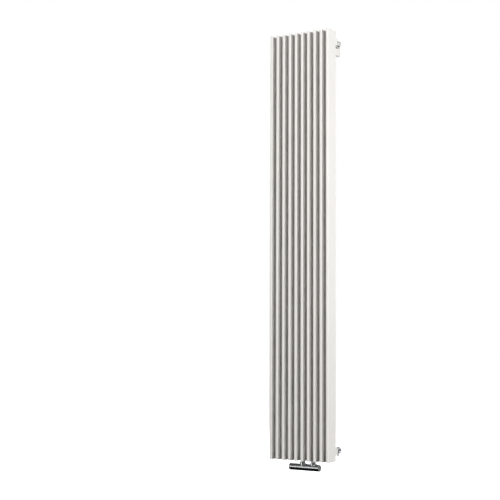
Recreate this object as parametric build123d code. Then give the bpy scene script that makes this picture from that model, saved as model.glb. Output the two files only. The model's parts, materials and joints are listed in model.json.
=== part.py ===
from build123d import *
import os
from math import hypot

# Vertical radiator of upright flat tubes, fed from below by a horizontal chrome thermostatic valve.
# Millimetres. +X is right as seen from the room, +Y points into the wall, +Z is up.
# The origin is the centre of the four wall screws, on the wall plane.

# Heating tubes: flat steel tubes on edge, side by side
FIN_COUNT = 10
FIN_PITCH = 30.0
FIN_THICKNESS = 11.0
FIN_DEPTH = 70.0
FIN_HEIGHT = 1800.0
FIN_WALL = 1.5
FIN_CORNER = 2.5
FIN_PLUG_THICKNESS = 3.0
WELD_GAP = 0.05

# Headers: the two cross tubes behind the heating tubes
HEADER_DEPTH = 25.0
HEADER_HEIGHT = 30.0
HEADER_WALL = 2.0
HEADER_CORNER = 3.0
HEADER_SETBACK = 40.0
HEADER_END_INSET = 5.0
HEADER_CAP_THICKNESS = 1.5
PORT_WIDTH = 3.0
PORT_HEIGHT = 22.0
DIVIDER_THICKNESS = 2.0

# Wall brackets: a chrome standoff on the wall takes a plunger on the header's back
WALL_GAP = 35.0
STANDOFF_DIAMETER = 28.0
STANDOFF_LENGTH = 21.0
STANDOFF_BORE = 20.0
STANDOFF_FLOOR = 3.0
STANDOFF_EDGE = 1.0
WALL_SCREW_HOLE = 6.0
SCREW_HEAD_ROOM = 6.0
PLUNGER_CLEARANCE = 0.2
STRAP_THICKNESS = 3.0
STRAP_WIDTH = 16.0
STRAP_DROP = 54.5
STRAP_SCREW_FROM_END = 8.0
TONGUE_TIP_GAP = 4.0
WEB_DEPTH = 42.0
WEB_ROOT_DEPTH = 9.0
WEB_DROP = 9.0
WEB_CORNER = 4.0
LOCK_SCREW = 5.0
LOCK_HEAD_WIDTH = 8.0
LOCK_HEAD_HEIGHT = 6.0
LOCK_TIP_GAP = 0.1
LOCK_HOLE_CLEARANCE = 0.05
LOCK_HEAD_GAP = 2.0
LOCK_LEAN = 22.0

# Air vent on the upper header
VENT_SOCKET_DIAMETER = 20.0
VENT_SOCKET_HEIGHT = 6.0
VENT_THREAD = 13.0
VENT_THREAD_LENGTH = 5.0
VENT_SEAL_DIAMETER = 17.0
VENT_SEAL_THICKNESS = 1.0
VENT_HEX_WIDTH = 17.0
VENT_HEX_HEIGHT = 5.0
VENT_SCREW = 5.0
VENT_SQUARE = 5.0
VENT_SQUARE_HEIGHT = 5.5
VENT_HEAD_GAP = 0.3
VENT_TIP_LENGTH = 2.0
VENT_OUTLET = 2.0
VENT_WATERWAY = 8.0
VENT_ENTRY = 1.5

# Valve block below the lower header
CONNECTION_PITCH = 50.0
VALVE_DROP = 34.0
VALVE_DIAMETER = 28.0
BODY_LEFT = 44.0
BODY_RIGHT = 38.0
BODY_EDGE = 0.6
NECK_DIAMETER = 23.0
NECK_HEIGHT = 22.0
INSERT_BORE = 18.0
SEAT_FROM_CENTRE = 24.0
SEAT_BORE = 9.0
SEAT_LENGTH = 4.0
CHAMBER_BORE = 12.0
CHAMBER_LENGTH = 8.0
WATERWAY = 8.0
WATERWAY_OFFSET_UP = 3.0
WATERWAY_OFFSET_BACK = 8.0
NECK_SOCKET_FLOOR = 10.5

# Pipe stubs with three-quarter inch outside thread
STUB_ROOT_DIAMETER = 24.0
STUB_THREAD_DIAMETER = 26.4
STUB_THREAD_START = 17.0
STUB_THREAD_LENGTH = 12.0
STUB_CHAMFER = 0.8
STUB_BORE = 14.0
STUB_BORE_FLOOR = 12.0
STUB_CONE_DIAMETER = 19.0
STUB_CONE_DEPTH = 4.0

# Nipples from the header's sockets into the valve necks
SOCKET_DIAMETER = 24.5
SOCKET_LENGTH = 18.0
NIPPLE_THREAD = 20.8
NIPPLE_THREAD_LENGTH = 14.0
NIPPLE_DIAMETER = 20.0
NIPPLE_SPIGOT = 18.0
NIPPLE_BORE = 13.0
THREAD_GAP = 0.05
SPIGOT_TIP_GAP = 0.5
SEAL_WIRE = 1.8
SEAL_HEIGHT = 16.0
SEAL_GROOVE_GAP = 0.1
NECK_SCREW = 5.0
NECK_SCREW_TIP_GAP = 0.3
NECK_SCREW_BELOW_RIM = 3.0

# Thermostatic insert in the left bore
RUNNING_GAP = 0.05
INSERT_SLEEVE = 10.0
INSERT_FLANGE_INSET = 3.0
INSERT_FLANGE_LENGTH = 2.5
INSERT_NECK_GAP = 0.3
INSERT_NECK_LENGTH = 3.5
INSERT_CAVITY = 11.0
INSERT_FLOOR = 2.0
GLAND_LENGTH = 3.5
GLAND_FLANGE_INSET = 1.0
GLAND_FLANGE_LENGTH = 1.5
O_RING_WIRE = 1.3
O_RING_CLEARANCE = 0.35
SPINDLE = 4.0
SPINDLE_COLLAR = 8.4
SPINDLE_COLLAR_LENGTH = 1.5
SPINDLE_PROUD = 2.5
CONE_DIAMETER = 14.4
CONE_THICKNESS = 2.0
CONE_SEAL_DIAMETER = 13.6
CONE_SEAL_THICKNESS = 2.8
CONE_LIFT = 1.4
RIVET_DIAMETER = 5.2
RIVET_LENGTH = 0.6
SPRING_WIRE = 0.9
SPRING_DIAMETER = 7.2
SPRING_TURNS = 3.5

# Thermostat head on the left end
CARRIER_RING = 4.2
CARRIER_POCKET_GAP = 0.3
CARRIER_TUBE_WALL = 1.5
CARRIER_TUBE_LENGTH = 14.0
GUIDE_FLANGE_GAP = 0.7
GUIDE_FLANGE_LIP = 1.7
GUIDE_FLANGE_LENGTH = 3.0
GUIDE_FROM_RING = 6.8
KNOB_GAP = 0.4
KNOB_LENGTH = 37.0
KNOB_WALL = 1.8
KNOB_EDGE = 1.2
KNOB_LID_THICKNESS = 3.0
KNOB_LID_CROWN = 0.6
BEARING_LENGTH = 5.6
DRIVE_CUP_GAP = 0.4
DRIVE_CUP_LENGTH = 13.5
DRIVE_CUP_WALL = 1.6
DRIVE_CUP_FLOOR = 1.5
DRIVE_CUP_END_ROOM = 1.5
PRONG_WIDTH = 5.0
PRONG_LENGTH = 10.0
PRONG_SIDE_GAP = 0.5
PRONG_RADIAL_GAP = 0.3
RETAINER_THICKNESS = 1.2
RETAINER_INSET = 0.3
RETAINER_BORE_GAP = 0.5
CAPSULE_GAP = 1.2
CAPSULE_FLANGE_GAP = 0.4
CAPSULE_FLANGE_THICKNESS = 2.2
CAPSULE_BOSS_DIAMETER = 10.0
CAPSULE_BOSS_LENGTH = 1.5
PUSH_PIN = 3.0
PUSH_PIN_LENGTH = 6.0
OVERTRAVEL_WIRE = 1.2
OVERTRAVEL_SIDE_GAP = 2.2
OVERTRAVEL_TURNS = 2.5
SPRING_SEAT_GAP = 0.05
SPRING_SAMPLES = 240
SPRING_NEAR_SHARE = 1.2

# Return shut-off insert and its cover cap on the right end
SHUTOFF_SLEEVE = 7.0
SHUTOFF_FLANGE_LENGTH = 4.0
SHUTOFF_NECK_DIAMETER = 14.0
SHUTOFF_NECK_LENGTH = 5.0
SHUTOFF_SPINDLE = 8.0
SHUTOFF_SPINDLE_PROUD = 0.5
SHUTOFF_COLLAR = 11.0
SHUTOFF_COLLAR_LENGTH = 1.1
SHUTOFF_COLLAR_GAP = 0.3
SHUTOFF_KEY_WIDTH = 5.0
SHUTOFF_KEY_DEPTH = 4.0
SHUTOFF_CONE_DIAMETER = 13.0
SHUTOFF_CONE_THICKNESS = 2.2
SHUTOFF_CONE_LIFT = 2.8
SHUTOFF_STEM = 4.6
SHUTOFF_STEM_LENGTH = 11.0
SHUTOFF_STEM_GAP = 0.4
SHUTOFF_STEM_END_ROOM = 2.0
CAP_LENGTH = 18.6
CAP_GAP = 0.4
CAP_WALL = 1.5
CAP_END = 2.0
CAP_EDGE = 1.2

# Planes and centre lines worked out from the sizes above
header_back_y = -WALL_GAP
header_mid_y = header_back_y - HEADER_DEPTH / 2
fin_back_y = header_back_y - HEADER_DEPTH
fin_mid_y = fin_back_y - FIN_DEPTH / 2
core_width = (FIN_COUNT - 1) * FIN_PITCH + FIN_THICKNESS
header_length = core_width - 2 * HEADER_END_INSET
header_z = FIN_HEIGHT / 2 - HEADER_SETBACK
outer_gap_x = (FIN_COUNT - 2) * FIN_PITCH / 2
vent_x = -outer_gap_x + FIN_PITCH
header_under_z = -header_z - HEADER_HEIGHT / 2
header_top_z = header_z + HEADER_HEIGHT / 2
valve_y = header_mid_y
valve_z = -FIN_HEIGHT / 2 - VALVE_DROP
connection_x = CONNECTION_PITCH / 2
fin_centres = [(i - (FIN_COUNT - 1) / 2) * FIN_PITCH for i in range(FIN_COUNT)]


def turned_x(*profile):
    """Solid turned about the valve axis from (x, radius) corners."""
    outline = make_face(Polyline(*profile, close=True))
    return Pos(0, valve_y, valve_z) * revolve(outline, Axis.X)


def turned_y(*profile):
    """Solid turned about the Y axis from (y, radius) corners."""
    outline = make_face(Polyline(*[(r, y) for y, r in profile], close=True))
    return revolve(outline, Axis.Y)


def turned_z(*profile):
    """Solid turned about the Z axis from (z, radius) corners."""
    outline = make_face(Polyline(*[(r, 0, z) for z, r in profile], close=True))
    return revolve(outline, Axis.Z)


def rod(axis, diameter, start, end):
    """Round bar from start to end along X, Y or Z through the origin."""
    turn = {"x": Rot(0, 90, 0), "y": Rot(-90, 0, 0), "z": Rot(0, 0, 0)}[axis]
    bar = turn * Cylinder(diameter / 2, end - start, align=(Align.CENTER, Align.CENTER, Align.MIN))
    shift = {"x": Pos(start, 0, 0), "y": Pos(0, start, 0), "z": Pos(0, 0, start)}[axis]
    return shift * bar


def valve_bar(diameter, start, end):
    """Round bar on the valve axis between two X stations."""
    return Pos(0, valve_y, valve_z) * rod("x", diameter, start, end)


def ring_x(outer, inner, start, end):
    """Plain ring on the valve axis, by its diameters."""
    return valve_bar(outer, start, end) - valve_bar(inner, start, end)


def o_ring(wire, centre_diameter):
    """Round rubber ring about the Z axis."""
    return Torus(centre_diameter / 2, wire / 2)


def o_ring_x(x, inner_diameter):
    """Rubber ring on the valve axis, clear of a shaft of this diameter."""
    centre = inner_diameter + 2 * O_RING_CLEARANCE + O_RING_WIRE
    return Pos(x, valve_y, valve_z) * Rot(0, 90, 0) * o_ring(O_RING_WIRE, centre)


def o_ring_groove_x(x, inner_diameter):
    """Cutter for the groove that holds such a ring."""
    outer = inner_diameter + 2 * (O_RING_CLEARANCE + O_RING_WIRE + SEAL_GROOVE_GAP)
    half = O_RING_WIRE / 2 + SEAL_GROOVE_GAP
    return valve_bar(outer, x - half, x + half)


def coil_spring(wire, mean_diameter, turns, seat_a, seat_b):
    """Spring on the valve axis between two seats, of half-turn arcs that join tangentially."""
    first = seat_a + wire / 2 + SPRING_SEAT_GAP
    last = seat_b - wire / 2 - SPRING_SEAT_GAP
    halves = round(2 * turns)
    step = (last - first) / halves
    radius = mean_diameter / 2
    arcs = []
    for i in range(halves):
        side = 1 if i % 2 == 0 else -1
        start = (first + i * step, 0, side * radius)
        middle = (first + (i + 0.5) * step, side * hypot(radius, step / 2), 0)
        end = (first + (i + 1) * step, 0, -side * radius)
        arcs.append(ThreePointArc(start, middle, end))
    path = Wire(arcs)
    samples = [path.position_at(k / SPRING_SAMPLES) for k in range(SPRING_SAMPLES + 1)]
    near = int(SPRING_SAMPLES / halves * SPRING_NEAR_SHARE)
    gap = min((a - b).length for i, a in enumerate(samples) for b in samples[i + near:]) - wire
    print("spring gap to itself", round(gap, 3))
    section = Plane(origin=(first, 0, radius), z_dir=(0, 1, 0)) * Circle(wire / 2)
    return Pos(0, valve_y, valve_z) * sweep(section, path=path)


def group(*shapes):
    """Several separate solids kept together in one node."""
    return Compound(children=[solid for shape in shapes for solid in shape.solids()])


def mirrored(shape):
    """The same piece on the other side of the radiator's middle."""
    return mirror(shape, about=Plane.YZ)


def flat_tube_section(grow):
    """Plan outline of a heating tube, grown or shrunk all round."""
    corner = FIN_CORNER + grow
    return RectangleRounded(FIN_THICKNESS + 2 * grow, FIN_DEPTH + 2 * grow, corner)


def header_section(grow):
    """End outline of a header, seen along X."""
    outline = RectangleRounded(HEADER_DEPTH + 2 * grow, HEADER_HEIGHT + 2 * grow, HEADER_CORNER + grow)
    return Plane.YZ * outline


def port(x, z):
    """Cutter for the waterway between one heating tube and one header."""
    slot = Rot(90, 0, 0) * extrude(SlotOverall(PORT_HEIGHT, PORT_WIDTH, rotation=90), PORT_WIDTH, both=True)
    return Pos(x, fin_back_y, z) * slot


def heating_tube(x):
    """One hollow flat tube with its two ports."""
    outer = extrude(flat_tube_section(0), FIN_HEIGHT / 2, both=True)
    inner = extrude(flat_tube_section(-FIN_WALL), FIN_HEIGHT, both=True)
    tube = Pos(x, fin_mid_y, 0) * (outer - inner)
    return tube - port(x, header_z) - port(x, -header_z)


def tube_plugs(top):
    """Flush plugs welded into one end of every heating tube."""
    plug = extrude(flat_tube_section(-FIN_WALL - WELD_GAP), FIN_PLUG_THICKNESS)
    z = FIN_HEIGHT / 2 - FIN_PLUG_THICKNESS if top else -FIN_HEIGHT / 2
    return group(*[Pos(x, fin_mid_y, z) * plug for x in fin_centres])


def header_tube(z):
    """Cross tube with one port for each heating tube."""
    outer = extrude(header_section(0), header_length / 2, both=True)
    inner = extrude(header_section(-HEADER_WALL), header_length, both=True)
    tube = Pos(0, header_mid_y, z) * (outer - inner)
    for x in fin_centres:
        tube -= port(x, z)
    return tube


def header_caps(z):
    """End plates welded flush into a header."""
    plate = extrude(header_section(-HEADER_WALL - WELD_GAP), HEADER_CAP_THICKNESS)
    right = Pos(header_length / 2 - HEADER_CAP_THICKNESS, header_mid_y, z) * plate
    return group(right, mirrored(right))


def lower_header():
    """Lower cross tube with the supply and return openings in its underside."""
    tube = header_tube(-header_z)
    opening = rod("z", NIPPLE_BORE, header_under_z - 1, -header_z)
    for side in (-1, 1):
        tube -= Pos(side * connection_x, header_mid_y, 0) * opening
    return tube


def upper_header():
    """Upper cross tube with the vent opening in its top."""
    opening = rod("z", VENT_WATERWAY, header_z, header_top_z + 1)
    return header_tube(header_z) - Pos(vent_x, header_mid_y, 0) * opening


def flow_divider():
    """Plate that parts the supply half of the lower header from the return half."""
    plate = extrude(header_section(-HEADER_WALL - WELD_GAP), DIVIDER_THICKNESS / 2, both=True)
    return Pos(0, header_mid_y, -header_z) * plate


def connection_socket(x):
    """Threaded socket welded under the lower header."""
    low = header_under_z - SOCKET_LENGTH
    bore = NIPPLE_THREAD + 2 * THREAD_GAP
    socket = rod("z", SOCKET_DIAMETER, low, header_under_z) - rod("z", bore, low, header_under_z)
    return Pos(x, header_mid_y, 0) * socket


# Wall bracket stations along Y, from the wall outwards
standoff_back_y = -STRAP_THICKNESS
standoff_front_y = standoff_back_y - STANDOFF_LENGTH
plunger_tip_y = standoff_back_y - STANDOFF_FLOOR - SCREW_HEAD_ROOM
lock_y = (standoff_front_y + plunger_tip_y) / 2
plunger_diameter = STANDOFF_BORE - 2 * PLUNGER_CLEARANCE
tongue_top = -HEADER_HEIGHT / 2
tongue_under = tongue_top - STRAP_THICKNESS


def standoff(x, z, lean):
    """Chrome standoff screwed to the wall, bored for the header's plunger and a clamp screw."""
    radius = STANDOFF_DIAMETER / 2
    sleeve = turned_y(
        (standoff_back_y, WALL_SCREW_HOLE / 2),
        (standoff_back_y, radius),
        (standoff_front_y + STANDOFF_EDGE, radius),
        (standoff_front_y, radius - STANDOFF_EDGE),
        (standoff_front_y, STANDOFF_BORE / 2),
        (standoff_back_y - STANDOFF_FLOOR, STANDOFF_BORE / 2),
        (standoff_back_y - STANDOFF_FLOOR, WALL_SCREW_HOLE / 2),
    )
    lock_hole = rod("z", LOCK_SCREW + 2 * LOCK_HOLE_CLEARANCE, -STANDOFF_DIAMETER, 0)
    return Pos(x, 0, z) * (sleeve - Pos(0, lock_y, 0) * Rot(0, -lean, 0) * lock_hole)


def plunger(x, z):
    """Round peg welded to a header's back, reaching into its standoff."""
    return Pos(x, 0, z) * rod("y", plunger_diameter, header_back_y, plunger_tip_y)


def lock_screw(x, z, head_top, lean):
    """Hexagon screw that clamps a plunger in its standoff from below, leaning outwards."""
    tip = -plunger_diameter / 2 - LOCK_TIP_GAP
    shank = rod("z", LOCK_SCREW, head_top, tip)
    hexagon = RegularPolygon(LOCK_HEAD_WIDTH / 2, 6, major_radius=False)
    head = Pos(0, 0, head_top - LOCK_HEAD_HEIGHT) * extrude(hexagon, LOCK_HEAD_HEIGHT)
    return Pos(x, lock_y, z) * Rot(0, -lean, 0) * (shank + head)


def lock_screws():
    """One clamp screw for each standoff; the upper pair also holds the carrying tongues.

    The lower pair leans outwards, so that a key passes the side of the radiator.
    """
    upper = lock_screw(outer_gap_x, header_z, tongue_under, 0)
    lower = lock_screw(outer_gap_x, -header_z, -STANDOFF_DIAMETER / 2 - LOCK_HEAD_GAP, LOCK_LEAN)
    return group(upper, mirrored(upper), lower, mirrored(lower))


def carrying_bracket():
    """Right-hand wall strap with a side web and the tongue that carries the upper header."""
    tail = Pos(0, -STRAP_DROP / 2) * Rectangle(STRAP_WIDTH, STRAP_DROP)
    outline = Circle(STANDOFF_DIAMETER / 2) + tail
    lower_hole = -STRAP_DROP + STRAP_SCREW_FROM_END
    outline -= Circle(WALL_SCREW_HOLE / 2)
    outline -= Pos(0, lower_hole) * Circle(WALL_SCREW_HOLE / 2)
    strap = Rot(90, 0, 0) * extrude(outline, STRAP_THICKNESS)
    tip_y = fin_back_y + TONGUE_TIP_GAP
    tongue_shape = Rectangle(STRAP_WIDTH, -STRAP_THICKNESS - tip_y)
    tongue_mid_y = (tip_y - STRAP_THICKNESS) / 2
    hole = Pos(0, lock_y - tongue_mid_y) * Circle(LOCK_SCREW / 2 + PLUNGER_CLEARANCE)
    tongue = Pos(0, tongue_mid_y, tongue_under) * extrude(tongue_shape - hole, STRAP_THICKNESS)
    root_y = -STRAP_THICKNESS - WEB_ROOT_DEPTH
    front_y = -STRAP_THICKNESS - WEB_DEPTH
    web_top = tongue_top - WEB_DROP
    web_shape = make_face(
        Polyline(
            (-STRAP_THICKNESS, -STRAP_DROP),
            (front_y, -STRAP_DROP),
            (front_y, web_top),
            (root_y, web_top),
            (root_y, tongue_top),
            (-STRAP_THICKNESS, tongue_top),
            close=True,
        )
    )
    rounded = web_shape.vertices().sort_by(Axis.Y)[:4].sort_by(Axis.X)[:3]
    web_shape = fillet(rounded, WEB_CORNER)
    web = Plane.YZ * extrude(web_shape, STRAP_THICKNESS / 2, both=True)
    web = Pos((STRAP_WIDTH - STRAP_THICKNESS) / 2, 0, 0) * web
    return Pos(outer_gap_x, 0, header_z) * (strap + tongue + web)


def wall_pads():
    """Rubber washers that bring the lower standoffs level with the upper ones."""
    pad = rod("y", STANDOFF_DIAMETER, standoff_back_y, 0) - rod("y", WALL_SCREW_HOLE, standoff_back_y, 0)
    right = Pos(outer_gap_x, 0, -header_z) * pad
    return group(right, mirrored(right))


# Air vent stations along Z, from the upper header's top
vent_seal_z = header_top_z + VENT_SOCKET_HEIGHT
vent_hex_z = vent_seal_z + VENT_SEAL_THICKNESS
vent_top_z = vent_hex_z + VENT_HEX_HEIGHT
vent_thread_z = vent_seal_z - VENT_THREAD_LENGTH
vent_screw_bore = VENT_SCREW + 2 * RUNNING_GAP


def at_vent(shape):
    """Puts a piece made about the Z axis on the vent's axis."""
    return Pos(vent_x, header_mid_y, 0) * shape


def vent_socket():
    """Threaded boss welded on the upper header."""
    bore = VENT_THREAD + 2 * THREAD_GAP
    boss = rod("z", VENT_SOCKET_DIAMETER, header_top_z, vent_seal_z)
    return at_vent(boss - rod("z", bore, header_top_z, vent_seal_z))


def vent_body():
    """Hexagon vent plug with a side outlet."""
    hexagon = RegularPolygon(VENT_HEX_WIDTH / 2, 6, major_radius=False)
    plug = rod("z", VENT_THREAD, vent_thread_z, vent_hex_z)
    plug += Pos(0, 0, vent_hex_z) * extrude(hexagon, VENT_HEX_HEIGHT)
    plug -= rod("z", vent_screw_bore, vent_thread_z + VENT_TIP_LENGTH, vent_top_z)
    plug -= rod("z", VENT_ENTRY, vent_thread_z, vent_top_z)
    plug -= Pos(0, 0, (vent_hex_z + vent_top_z) / 2) * rod("x", VENT_OUTLET, -VENT_HEX_WIDTH, 0)
    return at_vent(plug)


def vent_seal():
    """Flat ring under the vent plug's hexagon."""
    bore = VENT_THREAD + 2 * THREAD_GAP
    washer = rod("z", VENT_SEAL_DIAMETER, vent_seal_z, vent_hex_z)
    return at_vent(washer - rod("z", bore, vent_seal_z, vent_hex_z))


def vent_screw():
    """Square-headed bleed screw, closed on its blunt tip."""
    floor = vent_thread_z + VENT_TIP_LENGTH + RUNNING_GAP
    shank = turned_z(
        (floor, 0),
        (floor, VENT_ENTRY / 2),
        (floor + VENT_TIP_LENGTH, VENT_SCREW / 2),
        (vent_top_z + VENT_HEAD_GAP, VENT_SCREW / 2),
        (vent_top_z + VENT_HEAD_GAP, 0),
    )
    square = extrude(Rectangle(VENT_SQUARE, VENT_SQUARE), VENT_SQUARE_HEIGHT)
    return at_vent(shank + Pos(0, 0, vent_top_z + VENT_HEAD_GAP) * square)


# Valve stations along X
body_left_x = -BODY_LEFT
body_right_x = BODY_RIGHT
neck_top_z = valve_z + NECK_HEIGHT
spigot_floor_z = valve_z + NECK_SOCKET_FLOOR
stub_end_y = STUB_THREAD_START + STUB_THREAD_LENGTH


def pipe_stub():
    """Threaded pipe stub about the Y axis, rooted on the valve axis."""
    thread = STUB_THREAD_DIAMETER / 2
    return turned_y(
        (0, 0),
        (0, STUB_ROOT_DIAMETER / 2),
        (STUB_THREAD_START, STUB_ROOT_DIAMETER / 2),
        (STUB_THREAD_START, thread),
        (stub_end_y - STUB_CHAMFER, thread),
        (stub_end_y, thread - STUB_CHAMFER),
        (stub_end_y, 0),
    )


def pipe_stub_bore():
    """Cutter for the stub's bore and its sealing cone."""
    return turned_y(
        (STUB_BORE_FLOOR, 0),
        (STUB_BORE_FLOOR, STUB_BORE / 2),
        (stub_end_y - STUB_CONE_DEPTH, STUB_BORE / 2),
        (stub_end_y, STUB_CONE_DIAMETER / 2),
        (stub_end_y, 0),
    )


def valve_side_cuts(side):
    """Everything bored for one half of the valve: neck, pipe stub, seat and waterways."""
    seat = side * SEAT_FROM_CENTRE
    seat_in = side * (SEAT_FROM_CENTRE - SEAT_LENGTH)
    chamber_in = side * (SEAT_FROM_CENTRE - SEAT_LENGTH - CHAMBER_LENGTH)
    end = body_left_x if side < 0 else body_right_x
    cuts = valve_bar(INSERT_BORE, min(seat, end), max(seat, end))
    cuts += valve_bar(SEAT_BORE, min(seat, chamber_in), max(seat, chamber_in))
    cuts += valve_bar(CHAMBER_BORE, min(seat_in, chamber_in), max(seat_in, chamber_in))
    centre = Pos(side * connection_x, valve_y, 0)
    spigot = NIPPLE_SPIGOT + 2 * THREAD_GAP
    cuts += centre * rod("z", spigot, spigot_floor_z, neck_top_z)
    screw_hole = rod("y", NECK_SCREW + 2 * THREAD_GAP, 0, NECK_DIAMETER)
    cuts += centre * Pos(0, 0, neck_top_z - NECK_SCREW_BELOW_RIM) * screw_hole
    up = Pos(side * (connection_x + WATERWAY_OFFSET_UP), valve_y, 0)
    cuts += up * rod("z", WATERWAY, valve_z, spigot_floor_z + THREAD_GAP)
    cuts += centre * Pos(0, 0, valve_z) * pipe_stub_bore()
    back = Pos(side * (connection_x - WATERWAY_OFFSET_BACK), valve_y, valve_z)
    cuts += back * rod("y", WATERWAY, 0, STUB_BORE_FLOOR + WATERWAY / 4)
    return cuts


def valve_body():
    """Round valve block with two necks up to the radiator and two pipe stubs to the wall."""
    radius = VALVE_DIAMETER / 2
    block = turned_x(
        (body_left_x, 0),
        (body_left_x, radius - BODY_EDGE),
        (body_left_x + BODY_EDGE, radius),
        (body_right_x - BODY_EDGE, radius),
        (body_right_x, radius - BODY_EDGE),
        (body_right_x, 0),
    )
    for side in (-1, 1):
        x = side * connection_x
        block += Pos(x, valve_y, 0) * rod("z", NECK_DIAMETER, valve_z, neck_top_z)
        block += Pos(x, valve_y, valve_z) * pipe_stub()
    return block - valve_side_cuts(-1) - valve_side_cuts(1)


nipple_low_z = spigot_floor_z + SPIGOT_TIP_GAP
socket_low_z = header_under_z - SOCKET_LENGTH
nipple_seal_z = valve_z + SEAL_HEIGHT
seal_centre_diameter = NIPPLE_SPIGOT - SEAL_WIRE


def nipple(x):
    """Chrome nipple: thread in the header's socket, spigot in the valve's neck."""
    outer = rod("z", NIPPLE_SPIGOT, nipple_low_z, neck_top_z)
    outer += rod("z", NIPPLE_DIAMETER, neck_top_z, socket_low_z)
    outer += rod("z", NIPPLE_THREAD, socket_low_z, socket_low_z + NIPPLE_THREAD_LENGTH)
    bore = rod("z", NIPPLE_BORE, nipple_low_z, socket_low_z + NIPPLE_THREAD_LENGTH)
    half = SEAL_WIRE / 2 + SEAL_GROOVE_GAP
    floor = seal_centre_diameter - SEAL_WIRE - 2 * SEAL_GROOVE_GAP
    groove = rod("z", NIPPLE_SPIGOT + 2, nipple_seal_z - half, nipple_seal_z + half)
    groove -= rod("z", floor, nipple_seal_z - half, nipple_seal_z + half)
    return Pos(x, valve_y, 0) * (outer - bore - groove)


def nipple_seals():
    """Rubber ring on each nipple's spigot."""
    ring = Pos(connection_x, valve_y, nipple_seal_z) * o_ring(SEAL_WIRE, seal_centre_diameter)
    return group(ring, mirrored(ring))


def neck_screws():
    """Grub screw at the back of each neck, bearing on its nipple."""
    start = NIPPLE_SPIGOT / 2 + NECK_SCREW_TIP_GAP
    screw = rod("y", NECK_SCREW, start, NECK_DIAMETER / 2)
    right = Pos(connection_x, valve_y, neck_top_z - NECK_SCREW_BELOW_RIM) * screw
    return group(right, mirrored(right))


# Diameters that nest inside each other, from the hand grip inwards
knob_bore = VALVE_DIAMETER - 2 * KNOB_WALL
guide_flange = knob_bore - 2 * GUIDE_FLANGE_GAP
carrier_tube_outer = guide_flange - 2 * GUIDE_FLANGE_LIP
carrier_tube_inner = carrier_tube_outer - 2 * CARRIER_TUBE_WALL
insert_flange = VALVE_DIAMETER - 2 * INSERT_FLANGE_INSET
insert_neck = carrier_tube_inner - 2 * INSERT_NECK_GAP
gland_flange = insert_neck - 2 * GLAND_FLANGE_INSET
capsule_diameter = carrier_tube_inner - 2 * CAPSULE_GAP

# Thermostatic insert stations, from the valve body's left face
insert_in_x = body_left_x + INSERT_SLEEVE
insert_flange_x = body_left_x - INSERT_FLANGE_LENGTH
insert_out_x = insert_flange_x - INSERT_NECK_LENGTH
spring_floor_x = insert_in_x - INSERT_FLOOR
gland_in_x = insert_out_x + GLAND_LENGTH
gland_out_x = insert_out_x - GLAND_FLANGE_LENGTH
gland_seal_x = insert_out_x + GLAND_LENGTH / 2
seal_face_x = -SEAT_FROM_CENTRE - CONE_LIFT
cone_front_x = seal_face_x - CONE_SEAL_THICKNESS
cone_back_x = cone_front_x - CONE_THICKNESS
spindle_tip_x = gland_out_x - SPINDLE_PROUD
spindle_hole = SPINDLE + 2 * RUNNING_GAP


def valve_insert():
    """Brass insert screwed into the left bore, hollow for the return spring."""
    body = valve_bar(INSERT_BORE - 2 * THREAD_GAP, body_left_x, insert_in_x)
    body += valve_bar(insert_flange, insert_flange_x, body_left_x)
    body += valve_bar(insert_neck, insert_out_x, insert_flange_x)
    body -= valve_bar(INSERT_CAVITY, insert_out_x, spring_floor_x)
    return body - valve_bar(spindle_hole, spring_floor_x, insert_in_x)


def gland_nut():
    """Brass plug that closes the insert round the spindle."""
    body = valve_bar(INSERT_CAVITY - 2 * THREAD_GAP, insert_out_x, gland_in_x)
    body += valve_bar(gland_flange, gland_out_x, insert_out_x)
    return body - valve_bar(spindle_hole, gland_out_x, gland_in_x) - o_ring_groove_x(gland_seal_x, SPINDLE)


spindle_collar_x = gland_in_x + SPINDLE_COLLAR_LENGTH
rivet_x = seal_face_x + RIVET_LENGTH


def valve_spindle():
    """Spindle with the spring's collar and the riveted tip that holds the cone."""
    bar = valve_bar(SPINDLE, spindle_tip_x, rivet_x)
    bar += valve_bar(SPINDLE_COLLAR, spindle_collar_x, spindle_collar_x + SPINDLE_COLLAR_LENGTH)
    return bar + valve_bar(RIVET_DIAMETER, seal_face_x, rivet_x)


def valve_cone():
    """Brass disc behind the rubber seal."""
    return ring_x(CONE_DIAMETER, SPINDLE + 2 * THREAD_GAP, cone_back_x, cone_front_x)


def cone_seal():
    """Rubber disc that closes on the seat."""
    return ring_x(CONE_SEAL_DIAMETER, SPINDLE + 2 * THREAD_GAP, cone_front_x, seal_face_x)


def return_spring():
    """Spring that lifts the cone off its seat."""
    collar_face = spindle_collar_x + SPINDLE_COLLAR_LENGTH
    return coil_spring(SPRING_WIRE, SPRING_DIAMETER, SPRING_TURNS, collar_face, spring_floor_x)


# Thermostat head stations, from the valve body's left face outwards
ring_out_x = body_left_x - CARRIER_RING
guide_in_x = ring_out_x - GUIDE_FROM_RING
guide_out_x = guide_in_x - GUIDE_FLANGE_LENGTH
carrier_out_x = ring_out_x - CARRIER_TUBE_LENGTH
knob_in_x = ring_out_x - KNOB_GAP
knob_out_x = knob_in_x - KNOB_LENGTH
lid_in_x = knob_out_x + KNOB_LID_THICKNESS
drive_out_x = lid_in_x + DRIVE_CUP_END_ROOM
drive_in_x = drive_out_x + DRIVE_CUP_LENGTH
drive_floor_x = drive_out_x + DRIVE_CUP_FLOOR
drive_outer = knob_bore - 2 * DRIVE_CUP_GAP
drive_inner = drive_outer - 2 * DRIVE_CUP_WALL
capsule_flange = drive_inner - 2 * CAPSULE_FLANGE_GAP
overtravel_diameter = drive_inner - OVERTRAVEL_WIRE - 2 * OVERTRAVEL_SIDE_GAP
retainer_in_x = drive_in_x - RETAINER_INSET
retainer_out_x = retainer_in_x - RETAINER_THICKNESS
capsule_flange_x = retainer_out_x - CAPSULE_FLANGE_THICKNESS
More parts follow.
